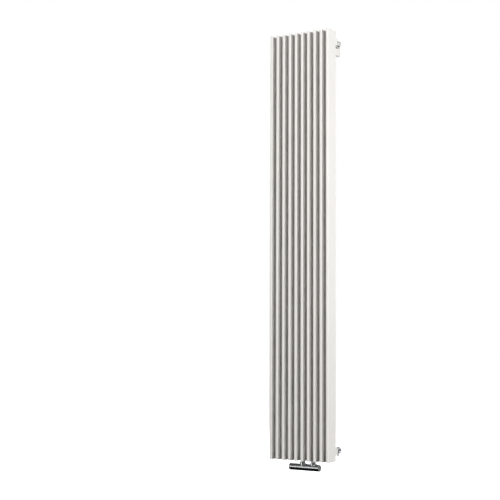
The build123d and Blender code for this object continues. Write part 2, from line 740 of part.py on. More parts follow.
pin_out_x = spindle_tip_x - PUSH_PIN_LENGTH
prong_outer = guide_flange - 2 * THREAD_GAP
prong_inner = carrier_tube_outer + 2 * PRONG_RADIAL_GAP


def prong_block(width, start, end):
    """Flat bar across the valve axis, used for the prongs and for their notches."""
    middle = Pos((start + end) / 2, valve_y, valve_z)
    return middle * Box(end - start, guide_flange + 2, width)


def head_carrier():
    """Fixed base of the thermostat head: index ring, guide tube and notched guide flange."""
    pocket = insert_flange + 2 * CARRIER_POCKET_GAP
    flange_room_x = insert_flange_x - CARRIER_POCKET_GAP
    base = valve_bar(VALVE_DIAMETER, ring_out_x, body_left_x)
    base += valve_bar(carrier_tube_outer, carrier_out_x, ring_out_x)
    base += valve_bar(guide_flange, guide_out_x, guide_in_x)
    base -= valve_bar(carrier_tube_inner, carrier_out_x, body_left_x)
    base -= valve_bar(pocket, flange_room_x, body_left_x)
    notch = prong_block(PRONG_WIDTH + 2 * PRONG_SIDE_GAP, guide_out_x, guide_in_x)
    return base - (notch - valve_bar(carrier_tube_outer, guide_out_x, guide_in_x))


def thermostat_knob():
    """Round chrome hand grip, open at both ends."""
    radius = VALVE_DIAMETER / 2
    return turned_x(
        (knob_in_x, knob_bore / 2),
        (knob_in_x, radius - BODY_EDGE),
        (knob_in_x - BODY_EDGE, radius),
        (knob_out_x + KNOB_EDGE, radius),
        (knob_out_x, radius - KNOB_EDGE / 2),
        (knob_out_x, knob_bore / 2),
    )


def knob_lid():
    """Crowned lid in the grip's outer end."""
    radius = knob_bore / 2 - THREAD_GAP
    edge_x = knob_out_x + KNOB_LID_CROWN
    crown = ThreePointArc((knob_out_x, 0), (knob_out_x + KNOB_LID_CROWN / 4, radius / 2), (edge_x, radius))
    sides = Polyline((edge_x, radius), (lid_in_x, radius), (lid_in_x, 0), (knob_out_x, 0))
    return Pos(0, valve_y, valve_z) * revolve(make_face([crown, sides]), Axis.X)


def knob_bearing():
    """Ring fixed in the grip that turns on the carrier's tube."""
    room = ring_out_x - guide_in_x
    start = guide_in_x + (room - BEARING_LENGTH) / 2
    outer = knob_bore - 2 * THREAD_GAP
    return ring_x(outer, carrier_tube_outer + 2 * RUNNING_GAP, start, start + BEARING_LENGTH)


def drive_cup():
    """Threaded cup that the knob screws in and out; two prongs keep it from turning."""
    cup = valve_bar(drive_outer, drive_out_x, drive_in_x) - valve_bar(drive_inner, drive_floor_x, drive_in_x)
    tube = ring_x(prong_outer, prong_inner, drive_in_x - PRONG_WIDTH, drive_in_x + PRONG_LENGTH)
    prongs = tube & prong_block(PRONG_WIDTH, drive_in_x - PRONG_WIDTH, drive_in_x + PRONG_LENGTH)
    return cup + (prongs - valve_bar(drive_inner, drive_floor_x, drive_in_x))


def capsule_retainer():
    """Snap ring in the drive cup's mouth."""
    outer = drive_inner - 2 * THREAD_GAP
    inner = capsule_diameter + 2 * RETAINER_BORE_GAP
    return ring_x(outer, inner, retainer_out_x, retainer_in_x)


def sensor_capsule():
    """Closed capsule of temperature-sensitive filling."""
    body = valve_bar(capsule_diameter, retainer_out_x, pin_out_x)
    body += valve_bar(capsule_flange, capsule_flange_x, retainer_out_x)
    return body + valve_bar(CAPSULE_BOSS_DIAMETER, capsule_flange_x - CAPSULE_BOSS_LENGTH, capsule_flange_x)


def overtravel_spring():
    """Spring that yields when the capsule swells beyond the closed seat."""
    return coil_spring(
        OVERTRAVEL_WIRE, overtravel_diameter, OVERTRAVEL_TURNS, drive_floor_x, capsule_flange_x
    )


# Return shut-off stations, from the valve body's right face
shutoff_in_x = body_right_x - SHUTOFF_SLEEVE
shutoff_flange_x = body_right_x + SHUTOFF_FLANGE_LENGTH
shutoff_out_x = shutoff_flange_x + SHUTOFF_NECK_LENGTH
shutoff_tip_x = shutoff_out_x + SHUTOFF_SPINDLE_PROUD
shutoff_seal_x = shutoff_flange_x + SHUTOFF_NECK_LENGTH / 2
collar_right_x = shutoff_in_x - SHUTOFF_COLLAR_GAP
collar_left_x = collar_right_x - SHUTOFF_COLLAR_LENGTH
cone_left_x = SEAT_FROM_CENTRE + SHUTOFF_CONE_LIFT
cone_right_x = cone_left_x + SHUTOFF_CONE_THICKNESS
stem_end_x = cone_right_x + SHUTOFF_STEM_LENGTH
stem_bore = SHUTOFF_STEM + 2 * SHUTOFF_STEM_GAP
cap_bore = VALVE_DIAMETER - 2 * CAP_WALL


def shutoff_insert():
    """Brass insert screwed into the right bore."""
    body = valve_bar(INSERT_BORE - 2 * THREAD_GAP, shutoff_in_x, body_right_x)
    body += valve_bar(cap_bore - 2 * RUNNING_GAP, body_right_x, shutoff_flange_x)
    body += valve_bar(SHUTOFF_NECK_DIAMETER, shutoff_flange_x, shutoff_out_x)
    body -= valve_bar(SHUTOFF_SPINDLE + 2 * RUNNING_GAP, shutoff_in_x, shutoff_out_x)
    return body - o_ring_groove_x(shutoff_seal_x, SHUTOFF_SPINDLE)


def shutoff_spindle():
    """Key-turned spindle that stays in place and drives the cone by its inner thread."""
    bar = valve_bar(SHUTOFF_SPINDLE, collar_left_x, shutoff_tip_x)
    bar += valve_bar(SHUTOFF_COLLAR, collar_left_x, collar_right_x)
    bar -= valve_bar(stem_bore, collar_left_x, stem_end_x + SHUTOFF_STEM_END_ROOM)
    hexagon = RegularPolygon(SHUTOFF_KEY_WIDTH / 2, 6, major_radius=False)
    key = Rot(0, 90, 0) * extrude(hexagon, SHUTOFF_KEY_DEPTH)
    return bar - Pos(shutoff_tip_x - SHUTOFF_KEY_DEPTH, valve_y, valve_z) * key


def shutoff_cone():
    """Closing cone with its stem inside the spindle."""
    cone = turned_x(
        (cone_left_x, 0),
        (cone_left_x, SHUTOFF_CONE_DIAMETER / 2),
        (cone_right_x, SHUTOFF_CONE_DIAMETER / 2),
        (cone_right_x, SHUTOFF_STEM / 2),
        (stem_end_x, SHUTOFF_STEM / 2),
        (stem_end_x, 0),
    )
    return cone


def shutoff_cap():
    """Chrome cover cap over the shut-off, pushed onto the insert's flange."""
    radius = VALVE_DIAMETER / 2
    left = body_right_x + CAP_GAP
    right = left + CAP_LENGTH
    return turned_x(
        (left, cap_bore / 2),
        (left, radius - BODY_EDGE),
        (left + BODY_EDGE, radius),
        (right - CAP_EDGE, radius),
        (right, radius - CAP_EDGE),
        (right, 0),
        (right - CAP_END, 0),
        (right - CAP_END, cap_bore / 2),
    )


nodes = {f"fin_{i + 1:02d}": heating_tube(x) for i, x in enumerate(fin_centres)}
nodes["fin_top_plugs"] = tube_plugs(True)
nodes["fin_bottom_plugs"] = tube_plugs(False)
nodes["upper_header"] = upper_header()
nodes["lower_header"] = lower_header()
nodes["upper_header_caps"] = header_caps(header_z)
nodes["lower_header_caps"] = header_caps(-header_z)
nodes["flow_divider"] = flow_divider()
nodes["supply_socket"] = connection_socket(-connection_x)
nodes["return_socket"] = connection_socket(connection_x)
nodes["vent_socket"] = vent_socket()
nodes["vent_body"] = vent_body()
nodes["vent_seal"] = vent_seal()
nodes["vent_screw"] = vent_screw()
nodes["carrying_bracket_right"] = carrying_bracket()
nodes["carrying_bracket_left"] = mirrored(carrying_bracket())
for side_name, side in (("left", -1), ("right", 1)):
    for level_name, level, lean in (("upper", 1, 0), ("lower", -1, LOCK_LEAN)):
        sleeve = standoff(side * outer_gap_x, level * header_z, side * lean)
        nodes[f"{level_name}_{side_name}_standoff"] = sleeve
nodes["header_plungers"] = group(
    *[plunger(side * outer_gap_x, level * header_z) for side in (-1, 1) for level in (-1, 1)]
)
nodes["bracket_lock_screws"] = lock_screws()
nodes["wall_pads"] = wall_pads()
nodes["valve_body"] = valve_body()
nodes["supply_nipple"] = nipple(-connection_x)
nodes["return_nipple"] = nipple(connection_x)
nodes["nipple_seals"] = nipple_seals()
nodes["neck_grub_screws"] = neck_screws()
nodes["valve_insert"] = valve_insert()
nodes["gland_nut"] = gland_nut()
nodes["gland_seal"] = o_ring_x(gland_seal_x, SPINDLE)
nodes["valve_spindle"] = valve_spindle()
nodes["valve_cone"] = valve_cone()
nodes["cone_seal"] = cone_seal()
nodes["return_spring"] = return_spring()
nodes["head_carrier"] = head_carrier()
nodes["thermostat_knob"] = thermostat_knob()
nodes["knob_lid"] = knob_lid()
nodes["knob_bearing"] = knob_bearing()
nodes["drive_cup"] = drive_cup()
nodes["capsule_retainer"] = capsule_retainer()
nodes["sensor_capsule"] = sensor_capsule()
nodes["overtravel_spring"] = overtravel_spring()
nodes["push_pin"] = valve_bar(PUSH_PIN, pin_out_x, spindle_tip_x)
nodes["shutoff_insert"] = shutoff_insert()
nodes["shutoff_seal"] = o_ring_x(shutoff_seal_x, SHUTOFF_SPINDLE)
nodes["shutoff_spindle"] = shutoff_spindle()
nodes["shutoff_cone"] = shutoff_cone()
nodes["shutoff_cap"] = shutoff_cap()

os.makedirs("parts", exist_ok=True)
for name, shape in nodes.items():
    export_step(shape, f"parts/{name}.step")
print(len(nodes), "nodes written")
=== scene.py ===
"""Studio scene of an upright radiator of flat tubes with a chrome thermostatic valve below it.

Sizes are in millimetres in the radiator's own frame: +X to the right as seen from the room, +Y into
the wall, +Z up, with the origin at the middle of the four wall screws.
"""

import json
import logging
import math
from collections.abc import Callable, Sequence
from dataclasses import dataclass, field
from enum import Enum
from functools import cache

import bmesh
import bpy
from mathutils import Matrix, Vector


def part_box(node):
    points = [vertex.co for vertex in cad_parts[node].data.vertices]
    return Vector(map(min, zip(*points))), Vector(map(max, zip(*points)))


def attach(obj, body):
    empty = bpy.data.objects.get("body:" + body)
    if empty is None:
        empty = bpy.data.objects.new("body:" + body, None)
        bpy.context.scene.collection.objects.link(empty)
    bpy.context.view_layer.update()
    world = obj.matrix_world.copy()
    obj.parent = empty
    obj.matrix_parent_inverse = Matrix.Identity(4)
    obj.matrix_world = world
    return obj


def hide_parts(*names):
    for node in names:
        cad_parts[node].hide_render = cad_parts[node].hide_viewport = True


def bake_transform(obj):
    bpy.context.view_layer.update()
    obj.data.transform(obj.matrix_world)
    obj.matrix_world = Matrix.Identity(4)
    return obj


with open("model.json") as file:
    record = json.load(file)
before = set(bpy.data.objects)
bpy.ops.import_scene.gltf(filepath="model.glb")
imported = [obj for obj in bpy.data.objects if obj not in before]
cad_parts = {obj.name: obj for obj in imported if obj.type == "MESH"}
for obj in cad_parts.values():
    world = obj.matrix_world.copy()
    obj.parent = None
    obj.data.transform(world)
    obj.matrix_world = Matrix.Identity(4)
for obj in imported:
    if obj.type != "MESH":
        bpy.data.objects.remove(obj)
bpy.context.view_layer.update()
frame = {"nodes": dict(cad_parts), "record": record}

MM = 0.001
PER_METRE = 1000.0
LOG = logging.getLogger("radiator")

Pair = tuple[float, float]
Corner = tuple[float, float, float]
Colour = tuple[float, float, float, float]

STANDOFFS = tuple(f"{level}_{side}_standoff" for level in ("upper", "lower") for side in ("left", "right"))
# The valve's two connections, and the side of its middle that each is on.
CONNECTIONS = {"supply": -1, "return": 1}
# Usual roundings of turned edges: just touched, freed of burr, broken and eased.
TOUCHED, BURR, BROKEN, EASED = 0.1, 0.2, 0.3, 0.4
# The most of an edge that the rounding of one of its corners takes.
ARC_SHARE = 0.49
# Points closer than the first length, in metres, are one, and edges under the second are taken out.
WELD, SLIVER = 2e-6, 1e-6
# Edges sharper than this angle stay sharp in smooth shading.
SHARP = math.radians(38)


def linear(code: str) -> Colour:
    """Turns an sRGB hex value into a linear colour.

    Args:
        code: the colour as "#RRGGBB".

    Returns:
        Red, green, blue and alpha in linear light.
    """
    shares = [int(code[i:i + 2], 16) / 255 for i in (1, 3, 5)]
    red, green, blue = [c / 12.92 if c <= 0.04045 else ((c + 0.055) / 1.055) ** 2.4 for c in shares]
    return red, green, blue, 1.0


def add_node(tree: bpy.types.NodeTree, kind: str, inputs: dict | None = None, **settings) -> bpy.types.Node:
    """Adds one shader node with its settings and links.

    Args:
        tree: the node tree that takes the node.
        kind: Blender's name for the node.
        inputs: values or output sockets by input name or number.
        settings: the node's own properties.

    Returns:
        The new node.
    """
    node = tree.nodes.new(kind)
    for name, value in settings.items():
        setattr(node, name, value)
    for name, value in (inputs or {}).items():
        if isinstance(value, bpy.types.NodeSocket):
            tree.links.new(value, node.inputs[name])
        else:
            node.inputs[name].default_value = value
    return node


class Relief(Enum):
    """How a surface was made: the stretch of its relief along X, Y and Z, and its fine octaves."""

    SPRAYED = (1.0, 1.0, 1.0, 1.0)
    POLISHED = (1.0, 1.0, 1.0, 0.0)
    MOULDED = (1.0, 1.0, 1.0, 4.0)
    TURNED = (1.0, 0.03, 0.03, 2.0)
    DRAWN = (0.03, 1.0, 1.0, 2.0)


@dataclass(frozen=True)
class Finish:
    """One real surface. Sizes are in millimetres.

    Attributes:
        name: the material's common name and how it was finished.
        colour: its usual colour.
        shade: the colour that its slow patches lean to.
        metallic: 1 for a metal.
        roughness: its usual roughness.
        spread: how far the roughness strays either way.
        relief: how the surface was made.
        grain: width of the relief.
        depth: height of the relief.
        patch: width of the slow patches of colour and gloss.
    """

    name: str
    colour: str
    shade: str
    metallic: float
    roughness: float
    spread: float
    relief: Relief
    grain: float
    depth: float
    patch: float

    @cache
    def material(self) -> bpy.types.Material:
        """Makes the material once for all pieces that take it.

        Returns:
            The shared material.
        """
        material = bpy.data.materials.new(self.name)
        material.use_nodes = True
        tree = material.node_tree
        shader = tree.nodes["Principled BSDF"]
        shader.inputs["Metallic"].default_value = self.metallic
        place = add_node(tree, "ShaderNodeTexCoord").outputs["Object"]
        patches = {"Vector": place, "Scale": PER_METRE / self.patch, "Detail": 2.0}
        slow = add_node(tree, "ShaderNodeTexNoise", patches).outputs[0]
        tones = {0: slow, 6: linear(self.colour), 7: linear(self.shade)}
        tone = add_node(tree, "ShaderNodeMix", tones, data_type="RGBA")
        limits = {"To Min": self.roughness - self.spread, "To Max": self.roughness + self.spread}
        gloss = add_node(tree, "ShaderNodeMapRange", {"Value": slow, **limits})
        *stretch, octaves = self.relief.value
        along = add_node(tree, "ShaderNodeMapping", {"Vector": place, "Scale": stretch}).outputs[0]
        grain = {"Vector": along, "Scale": PER_METRE / self.grain, "Detail": octaves}
        fine = add_node(tree, "ShaderNodeTexNoise", grain).outputs[0]
        bump = add_node(tree, "ShaderNodeBump", {"Distance": self.depth * MM, "Height": fine})
        tree.links.new(tone.outputs[2], shader.inputs["Base Color"])
        tree.links.new(gloss.outputs[0], shader.inputs["Roughness"])
        tree.links.new(bump.outputs[0], shader.inputs["Normal"])
        return material


# Polyester powder baked on steel: an even, warm white with a soft sheen and a faint orange peel.
# The real peel is about 1.2 mm wide, and is drawn at twice that so that close views hold it.
POWDER_COAT = Finish(
    "baked_polyester_powder", "#E7E5E1", "#E2E0DC", metallic=0.0, roughness=0.55, spread=0.04,
    relief=Relief.SPRAYED, grain=2.4, depth=0.012, patch=70.0,
)
# Bright chrome on polished brass: a clear mirror, a little cool, with a long shallow wave.
CHROME = Finish(
    "polished_chrome_plate", "#D2D4D6", "#C8CACC", metallic=1.0, roughness=0.05, spread=0.015,
    relief=Relief.POLISHED, grain=9.0, depth=0.004, patch=14.0,
)
# Satin nickel on brass: warmer than chrome, with blurred highlights.
NICKEL = Finish(
    "satin_nickel_plate", "#C9C5BC", "#B9B4AA", metallic=1.0, roughness=0.20, spread=0.05,
    relief=Relief.MOULDED, grain=0.8, depth=0.006, patch=6.0,
)
# Bright zinc on steel: bluish grey with cloudy, slightly yellow patches.
ZINC = Finish(
    "bright_zinc_plate", "#BCC1C6", "#B7B29F", metallic=1.0, roughness=0.30, spread=0.08,
    relief=Relief.MOULDED, grain=0.6, depth=0.008, patch=5.0,
)
# Zinc on steel, drawn nearly black instead of the bright zinc of its slot: painted shade for the dark notch
# under the upper cross tube, with a dull metal glint on the edges.
SHADE_DARKENED_ZINC = Finish(
    "zinc_darkened_as_painted_shade", "#36383B", "#2B2D2F", metallic=1.0, roughness=0.38, spread=0.08,
    relief=Relief.MOULDED, grain=0.6, depth=0.008, patch=5.0,
)
# Turned brass: yellow with tool rings 0.25 mm apart, drawn at 0.5 mm so that they show.
BRASS = Finish(
    "turned_brass", "#D8B766", "#C49C4C", metallic=1.0, roughness=0.24, spread=0.06,
    relief=Relief.TURNED, grain=0.5, depth=0.015, patch=5.0,
)
# Patented spring wire: grey steel with fine lines from the drawing die.
SPRING_WIRE = Finish(
    "drawn_spring_wire", "#A3A5A8", "#8C8E91", metallic=1.0, roughness=0.30, spread=0.06,
    relief=Relief.DRAWN, grain=0.3, depth=0.010, patch=3.0,
)
# Mill-finished steel sheet: dull grey with rolling marks.
MILL_STEEL = Finish(
    "mill_finish_steel", "#94979B", "#7E8185", metallic=1.0, roughness=0.42, spread=0.08,
    relief=Relief.DRAWN, grain=0.8, depth=0.020, patch=12.0,
)
# Moulded EPDM: near-black, dull, with a dusty grey bloom.
RUBBER = Finish(
    "moulded_epdm_rubber", "#1D1D1E", "#2A2A2B", metallic=0.0, roughness=0.68, spread=0.08,
    relief=Relief.MOULDED, grain=0.7, depth=0.020, patch=6.0,
)
# Moulded acetal: mid grey, waxy, with a spark-eroded texture.
ACETAL = Finish(
    "moulded_grey_acetal", "#8F9193", "#85878A", metallic=0.0, roughness=0.45, spread=0.06,
    relief=Relief.MOULDED, grain=0.5, depth=0.015, patch=8.0,
)
# Drawn aluminium cup: pale, with lines along the pull.
ALUMINIUM = Finish(
    "drawn_aluminium", "#D4D6D8", "#C6C8CB", metallic=1.0, roughness=0.28, spread=0.05,
    relief=Relief.DRAWN, grain=0.4, depth=0.012, patch=6.0,
)
# Pad-printed ink: white, matt and thin, so it stands out from the mirror of the chrome.
INK = Finish(
    "pad_printed_ink", "#E4E5E6", "#DCDDDE", metallic=0.0, roughness=0.55, spread=0.05,
    relief=Relief.MOULDED, grain=0.4, depth=0.004, patch=3.0,
)

SLOT_FINISH: dict[str, Finish] = {
    "white_powder_coat": POWDER_COAT,
    "bare_steel": MILL_STEEL,
    "chrome_plate": CHROME,
    "zinc_steel": ZINC,
    "spring_steel": SPRING_WIRE,
    "brass": BRASS,
    "nickel_plate": NICKEL,
    "black_rubber": RUBBER,
    "grey_plastic": ACETAL,
    "aluminium": ALUMINIUM,
}


def box_mm(node: str) -> tuple[Vector, Vector]:
    """Gives a CAD node's lowest and highest corner in millimetres."""
    low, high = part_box(node)
    return low * PER_METRE, high * PER_METRE


class Axis(Enum):
    """The direction a form runs along, and with it the two directions across."""

    X = (1, 2, 0)
    Y = (2, 0, 1)
    Z = (0, 1, 2)

    def point(self, centre: Vector, across: Pair, along: float) -> Vector:
        """Places a point of a form.

        Args:
            centre: a point on the form's axis.
            across: the offsets in the two directions across.
            along: the station on the axis, measured from the centre.

        Returns:
            The point in the radiator's frame.
        """
        place = Vector(centre)
        for i, value in zip(self.value, (*across, along)):
            place[i] += value
        return place

    def polar(self, centre: Vector, radius: float, turn: float, along: float) -> Vector:
        """Places a point by its radius, its turn about the axis in radians, and its station."""
        return self.point(centre, (radius * math.cos(turn), radius * math.sin(turn)), along)

    def line(self, node: str) -> tuple[Vector, float, Pair]:
        """Reads a round CAD node.

        Args:
            node: the node's name.

        Returns:
            Its axis's point at station 0, its radius and its two end stations.
        """
        low, high = box_mm(node)
        centre, width = (low + high) / 2, high - low
        along = self.value[2]
        centre[along] = 0
        return centre, (width.z if self is Axis.X else width.x) / 2, (low[along], high[along])


def rounded(corners: Sequence[Corner], steps: int = 5) -> list[Pair]:
    """Rounds the corners of a closed outline.

    Args:
        corners: two coordinates and the rounding radius of each corner.
        steps: edges in each arc.

    Returns:
        The outline's points.
    """
    outline: list[Pair] = []
    for i, (u, v, radius) in enumerate(corners):
        if radius <= 0:
            outline.append((u, v))
            continue
        here = Vector((u, v))
        before = Vector(corners[i - 1][:2]) - here
        after = Vector(corners[(i + 1) % len(corners)][:2]) - here
        half = before.angle(after) / 2
        reach = min(radius / math.tan(half), ARC_SHARE * before.length, ARC_SHARE * after.length)
        middle = here + (before.normalized() + after.normalized()).normalized() * reach / math.cos(half)
        start, end = (here + way.normalized() * reach - middle for way in (before, after))
        sweep = start.angle_signed(end)
        for k in range(steps + 1):
            outline.append(tuple(middle + Matrix.Rotation(-sweep * k / steps, 2) @ start))
    return outline


def circle(centre: Pair, radius: float, count: int = 48, hole: bool = False) -> list[Pair]:
    """Draws a circle.

    Args:
        centre: its centre.
        radius: its radius.
        count: its points.
        hole: whether it runs clockwise, as a hole in a plate.

    Returns:
        The circle's points.
    """
    way = -1 if hole else 1
    turns = [way * 2 * math.pi * k / count for k in range(count)]
    return [(centre[0] + radius * math.cos(a), centre[1] + radius * math.sin(a)) for a in turns]


def softened(start: float, end: float, edge: float, inset: float = 0.0, steps: int = 4) -> list[Pair]:
    """Lays out the stations of a bar with rounded ends.

    Args:
        start: first station.
        end: last station.
        edge: radius of the end edges.
        inset: inset of the bar's side.
        steps: edges in each rounding.

    Returns:
        Station and inset of each ring.
    """
    turns = [math.pi / 2 * k / steps for k in range(steps + 1)]
    bow = [(edge * (1 - math.sin(a)), inset + edge * (1 - math.cos(a))) for a in turns]
    return [(start + s, i) for s, i in reversed(bow)] + [(end - s, i) for s, i in bow]


@dataclass(frozen=True)
class RoundedBox:
    """Rectangular section with rounded corners."""

    width: float
    depth: float
    corner: float

    def ring(self, inset: float) -> list[Pair]:
        """Gives the outline's points, moved inwards by the inset."""
        u, v, radius = self.width / 2 - inset, self.depth / 2 - inset, max(self.corner - inset, TOUCHED)
        return rounded([(u, v, radius), (-u, v, radius), (-u, -v, radius), (u, -v, radius)], steps=6)


@dataclass(frozen=True)
class Hexagon:
    """Hexagonal section, by its width over the flats."""

    flats: float
    corner: float

    def ring(self, inset: float) -> list[Pair]:
        """Gives the outline's points, moved inwards by the inset."""
        reach = (self.flats / 2 - inset) / math.cos(math.pi / 6)
        return rounded([(*tip, self.corner) for tip in circle((0, 0), reach, 6)], steps=3)


@dataclass
class Form:
    """Collects the shells of one piece and makes them into a mesh.

    Attributes:
        name: the piece's name.
        points: the points of all shells.
        faces: their faces, by the numbers of the points.
    """

    name: str
    points: list[Vector] = field(default_factory=list)
    faces: list[list[int]] = field(default_factory=list)

    def swept(self, rings: Sequence[Sequence[Vector]], closed: bool = False) -> "Form":
        """Adds a shell from ready rings of points.

        Args:
            rings: the shell's sections in order, of equally many points.
            closed: whether the last ring joins the first. If not, both ends are filled.

        Returns:
            This form.
        """
        numbers = []
        for ring in rings:
            first = len(self.points)
            self.points.extend(ring)
            numbers.append(list(range(first, first + len(ring))))
        pairs = list(zip(numbers, numbers[1:]))
        if closed:
            pairs.append((numbers[-1], numbers[0]))
        else:
            self.faces.extend((numbers[0], numbers[-1]))
        for low, high in pairs:
            for j in range(len(low)):
                self.faces.append([low[j - 1], low[j], high[j], high[j - 1]])
        return self

    def turned(self, axis: Axis, centre: Vector, corners: Sequence[Corner], segments: int = 96) -> "Form":
        """Adds a shell turned on a lathe.

        Args:
            axis: the lathe's axis.
            centre: a point on it.
            corners: station, radius and rounding of each corner of the closed profile.
            segments: faces round the shell.

        Returns:
            This form.
        """
        turns = [2 * math.pi * j / segments for j in range(segments)]
        profile = rounded(corners)
        return self.swept([[axis.polar(centre, r, a, s) for a in turns] for s, r in profile], closed=True)

    def rod(
        self, axis: Axis, centre: Vector, span: Pair, radius: float, edges: Pair = (0, 0),
        bore: float = 0, lips: Pair = (0, 0), segments: int = 96,
    ) -> "Form":
        """Adds a cylinder.

        Args:
            axis: the cylinder's axis.
            centre: a point on it.
            span: the stations of its two ends.
            radius: its radius.
            edges: the rounding of the outer edge at each end.
            bore: radius of its bore, or 0 for a solid one.
            lips: the rounding of the bore's edge at each end.
            segments: faces round it.

        Returns:
            This form.
        """
        near = [(span[0], bore, lips[0]), (span[0], radius, edges[0])]
        far = [(span[1], radius, edges[1]), (span[1], bore, lips[1])]
        return self.turned(axis, centre, near + far, segments)

    def lofted(
        self, axis: Axis, centre: Vector, section: RoundedBox | Hexagon, stations: Sequence[Pair]
    ) -> "Form":
        """Adds a closed shell of one section with changing insets.

        Args:
            axis: the direction of the stations.
            centre: a point on the section's middle line.
            section: the outline.
            stations: station and inset of each ring.

        Returns:
            This form.
        """
        return self.swept([[axis.point(centre, p, s) for p in section.ring(inset)] for s, inset in stations])

    def take(self, curve: bpy.types.Curve, place: Callable[[Vector], Vector]) -> "Form":
        """Adds the mesh of a curve, which is used up.

        Args:
            curve: the curve.
            place: finds the place of a point of the curve in the radiator's frame.

        Returns:
            This form.
        """
        holder = bpy.data.objects.new(self.name, curve)
        mesh = bpy.data.meshes.new_from_object(holder)
        first = len(self.points)
        self.points.extend(place(vertex.co) for vertex in mesh.vertices)
        self.faces.extend([first + i for i in face.vertices] for face in mesh.polygons)
        bpy.data.objects.remove(holder)
        bpy.data.curves.remove(curve)
        bpy.data.meshes.remove(mesh)
        return self

    def plate(
        self, axis: Axis, centre: Vector, loops: Sequence[Sequence[Pair]], thickness: float, edge: float
    ) -> "Form":
        """Adds a cut plate with softened edges.

        Args:
            axis: the direction of the plate's thickness.
            centre: the origin of its outline, at mid-thickness.
            loops: the outline first, counter-clockwise, then the holes, clockwise.
            thickness: the plate's thickness.
            edge: radius of its edges.

        Returns:
            This form.
        """
        curve = bpy.data.curves.new(self.name, "CURVE")
        curve.dimensions = "2D"
        curve.fill_mode = "BOTH"
        for loop in loops:
            spline = curve.splines.new("POLY")
            spline.points.add(len(loop) - 1)
            for point, (u, v) in zip(spline.points, loop):
                point.co = (u, v, 0.0, 1.0)
            spline.use_cyclic_u = True
        curve.extrude = thickness / 2 - edge
        curve.bevel_depth = edge
        curve.bevel_resolution = 2
        curve.offset = -edge
        return self.take(curve, lambda p: axis.point(centre, (p.x, p.y), p.z))

    def made(self) -> bpy.types.Object:
        """Makes the piece.

        Returns:
            The object, welded and with its faces outwards.
        """
        mesh = bpy.data.meshes.new(self.name)
        mesh.from_pydata([p * MM for p in self.points], [], self.faces)
        work = bmesh.new()
        work.from_mesh(mesh)
        bmesh.ops.remove_doubles(work, verts=work.verts, dist=WELD)
        bmesh.ops.dissolve_degenerate(work, edges=work.edges, dist=SLIVER)
        bmesh.ops.recalc_face_normals(work, faces=work.faces)
        work.to_mesh(mesh)
        work.free()
        piece = bpy.data.objects.new(self.name, mesh)
        bpy.context.scene.collection.objects.link(piece)
        return piece


def cut(piece: bpy.types.Object, cutter: bpy.types.Object) -> None:
    """Bores a piece.

    Args:
        piece: the piece to bore.
        cutter: the form to take away, which is used up.
    """
    bore = piece.modifiers.new("bore", "BOOLEAN")
    bore.operation = "DIFFERENCE"
    bore.solver = "EXACT"
    bore.object = cutter
    bored = bpy.data.meshes.new_from_object(piece.evaluated_get(bpy.context.evaluated_depsgraph_get()))
    piece.modifiers.clear()
    piece.data = bored
    bpy.data.objects.remove(cutter)


def fit(
    form: Form, slot: str | None, *nodes: str, body: str = "radiator", finish: Finish | None = None,
    bores: Sequence[Form] = (),
) -> None:
    """Makes a piece, dresses it, hangs it on its body and hides the CAD nodes that it stands for.

    Args:
        form: the piece's form.
        slot: the record's material slot, or None for a print.
        nodes: the CAD nodes that it stands for.
        body: the CAD body that it moves with.
        finish: another finish than the slot's.
        bores: the forms to take away from it.
    """
    piece = form.made()
    for bore in bores:
        cut(piece, bore.made())
    mesh = piece.data
    mesh.materials.clear()
    mesh.materials.append((finish or SLOT_FINISH[slot]).material())
    mesh.shade_smooth()
    mesh.set_sharp_from_angle(angle=SHARP)
    normals = piece.modifiers.new("even_normals", "WEIGHTED_NORMAL")
    normals.keep_sharp = True
    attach(piece, body)
    if nodes:
        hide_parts(*nodes)
    LOG.info("%s: %d faces on %s", piece.name, len(mesh.polygons), body)


@dataclass
class WeldBeads:
    """Hand-laid weld seams, painted over with the radiator.

    Attributes:
        wire: radius of a seam.
        ripple: share by which its scales rise and fall.
        scale: length of one scale.
        sections: sections of the seam in a scale.
        tip: share of the radius at a seam's ends.
        facets: points round a seam.
    """

    wire: float = 1.25
    ripple: float = 0.10
    scale: float = 1.8
    sections: int = 3
    tip: float = 0.35
    facets: int = 8

    def radius(self, run: float) -> float:
        """Gives the seam's radius after some length of run."""
        return self.wire * (1 + self.ripple * math.cos(2 * math.pi * run / self.scale))

    def upright(self, form: Form, foot: Vector, length: float) -> None:
        """Lays a seam straight up.

        Args:
            form: the form that takes it.
            foot: its lower end.
            length: its length.
        """
        steps = round(length / self.scale * self.sections)
        rings = []
        for run in (length * i / steps for i in range(steps + 1)):
            taper = min(1.0, self.tip + min(run, length - run) / self.scale)
            section = circle((0, 0), self.radius(run) * taper, self.facets)
            rings.append([Axis.Z.point(foot, p, run) for p in section])
        form.swept(rings)

    def around(self, form: Form, axis: Axis, centre: Vector, radius: float) -> None:
        """Lays a seam round a boss.

        Args:
            form: the form that takes it.
            axis: the boss's axis.
            centre: the middle of the seam.
            radius: radius of the boss.
        """
        steps = round(2 * math.pi * radius / self.scale) * self.sections
        rings = []
        for i in range(steps):
            section = circle((radius, 0), self.radius(i / self.sections * self.scale), self.facets)
            rings.append([axis.polar(centre, r, 2 * math.pi * i / steps, s) for r, s in section])
        form.swept(rings, closed=True)


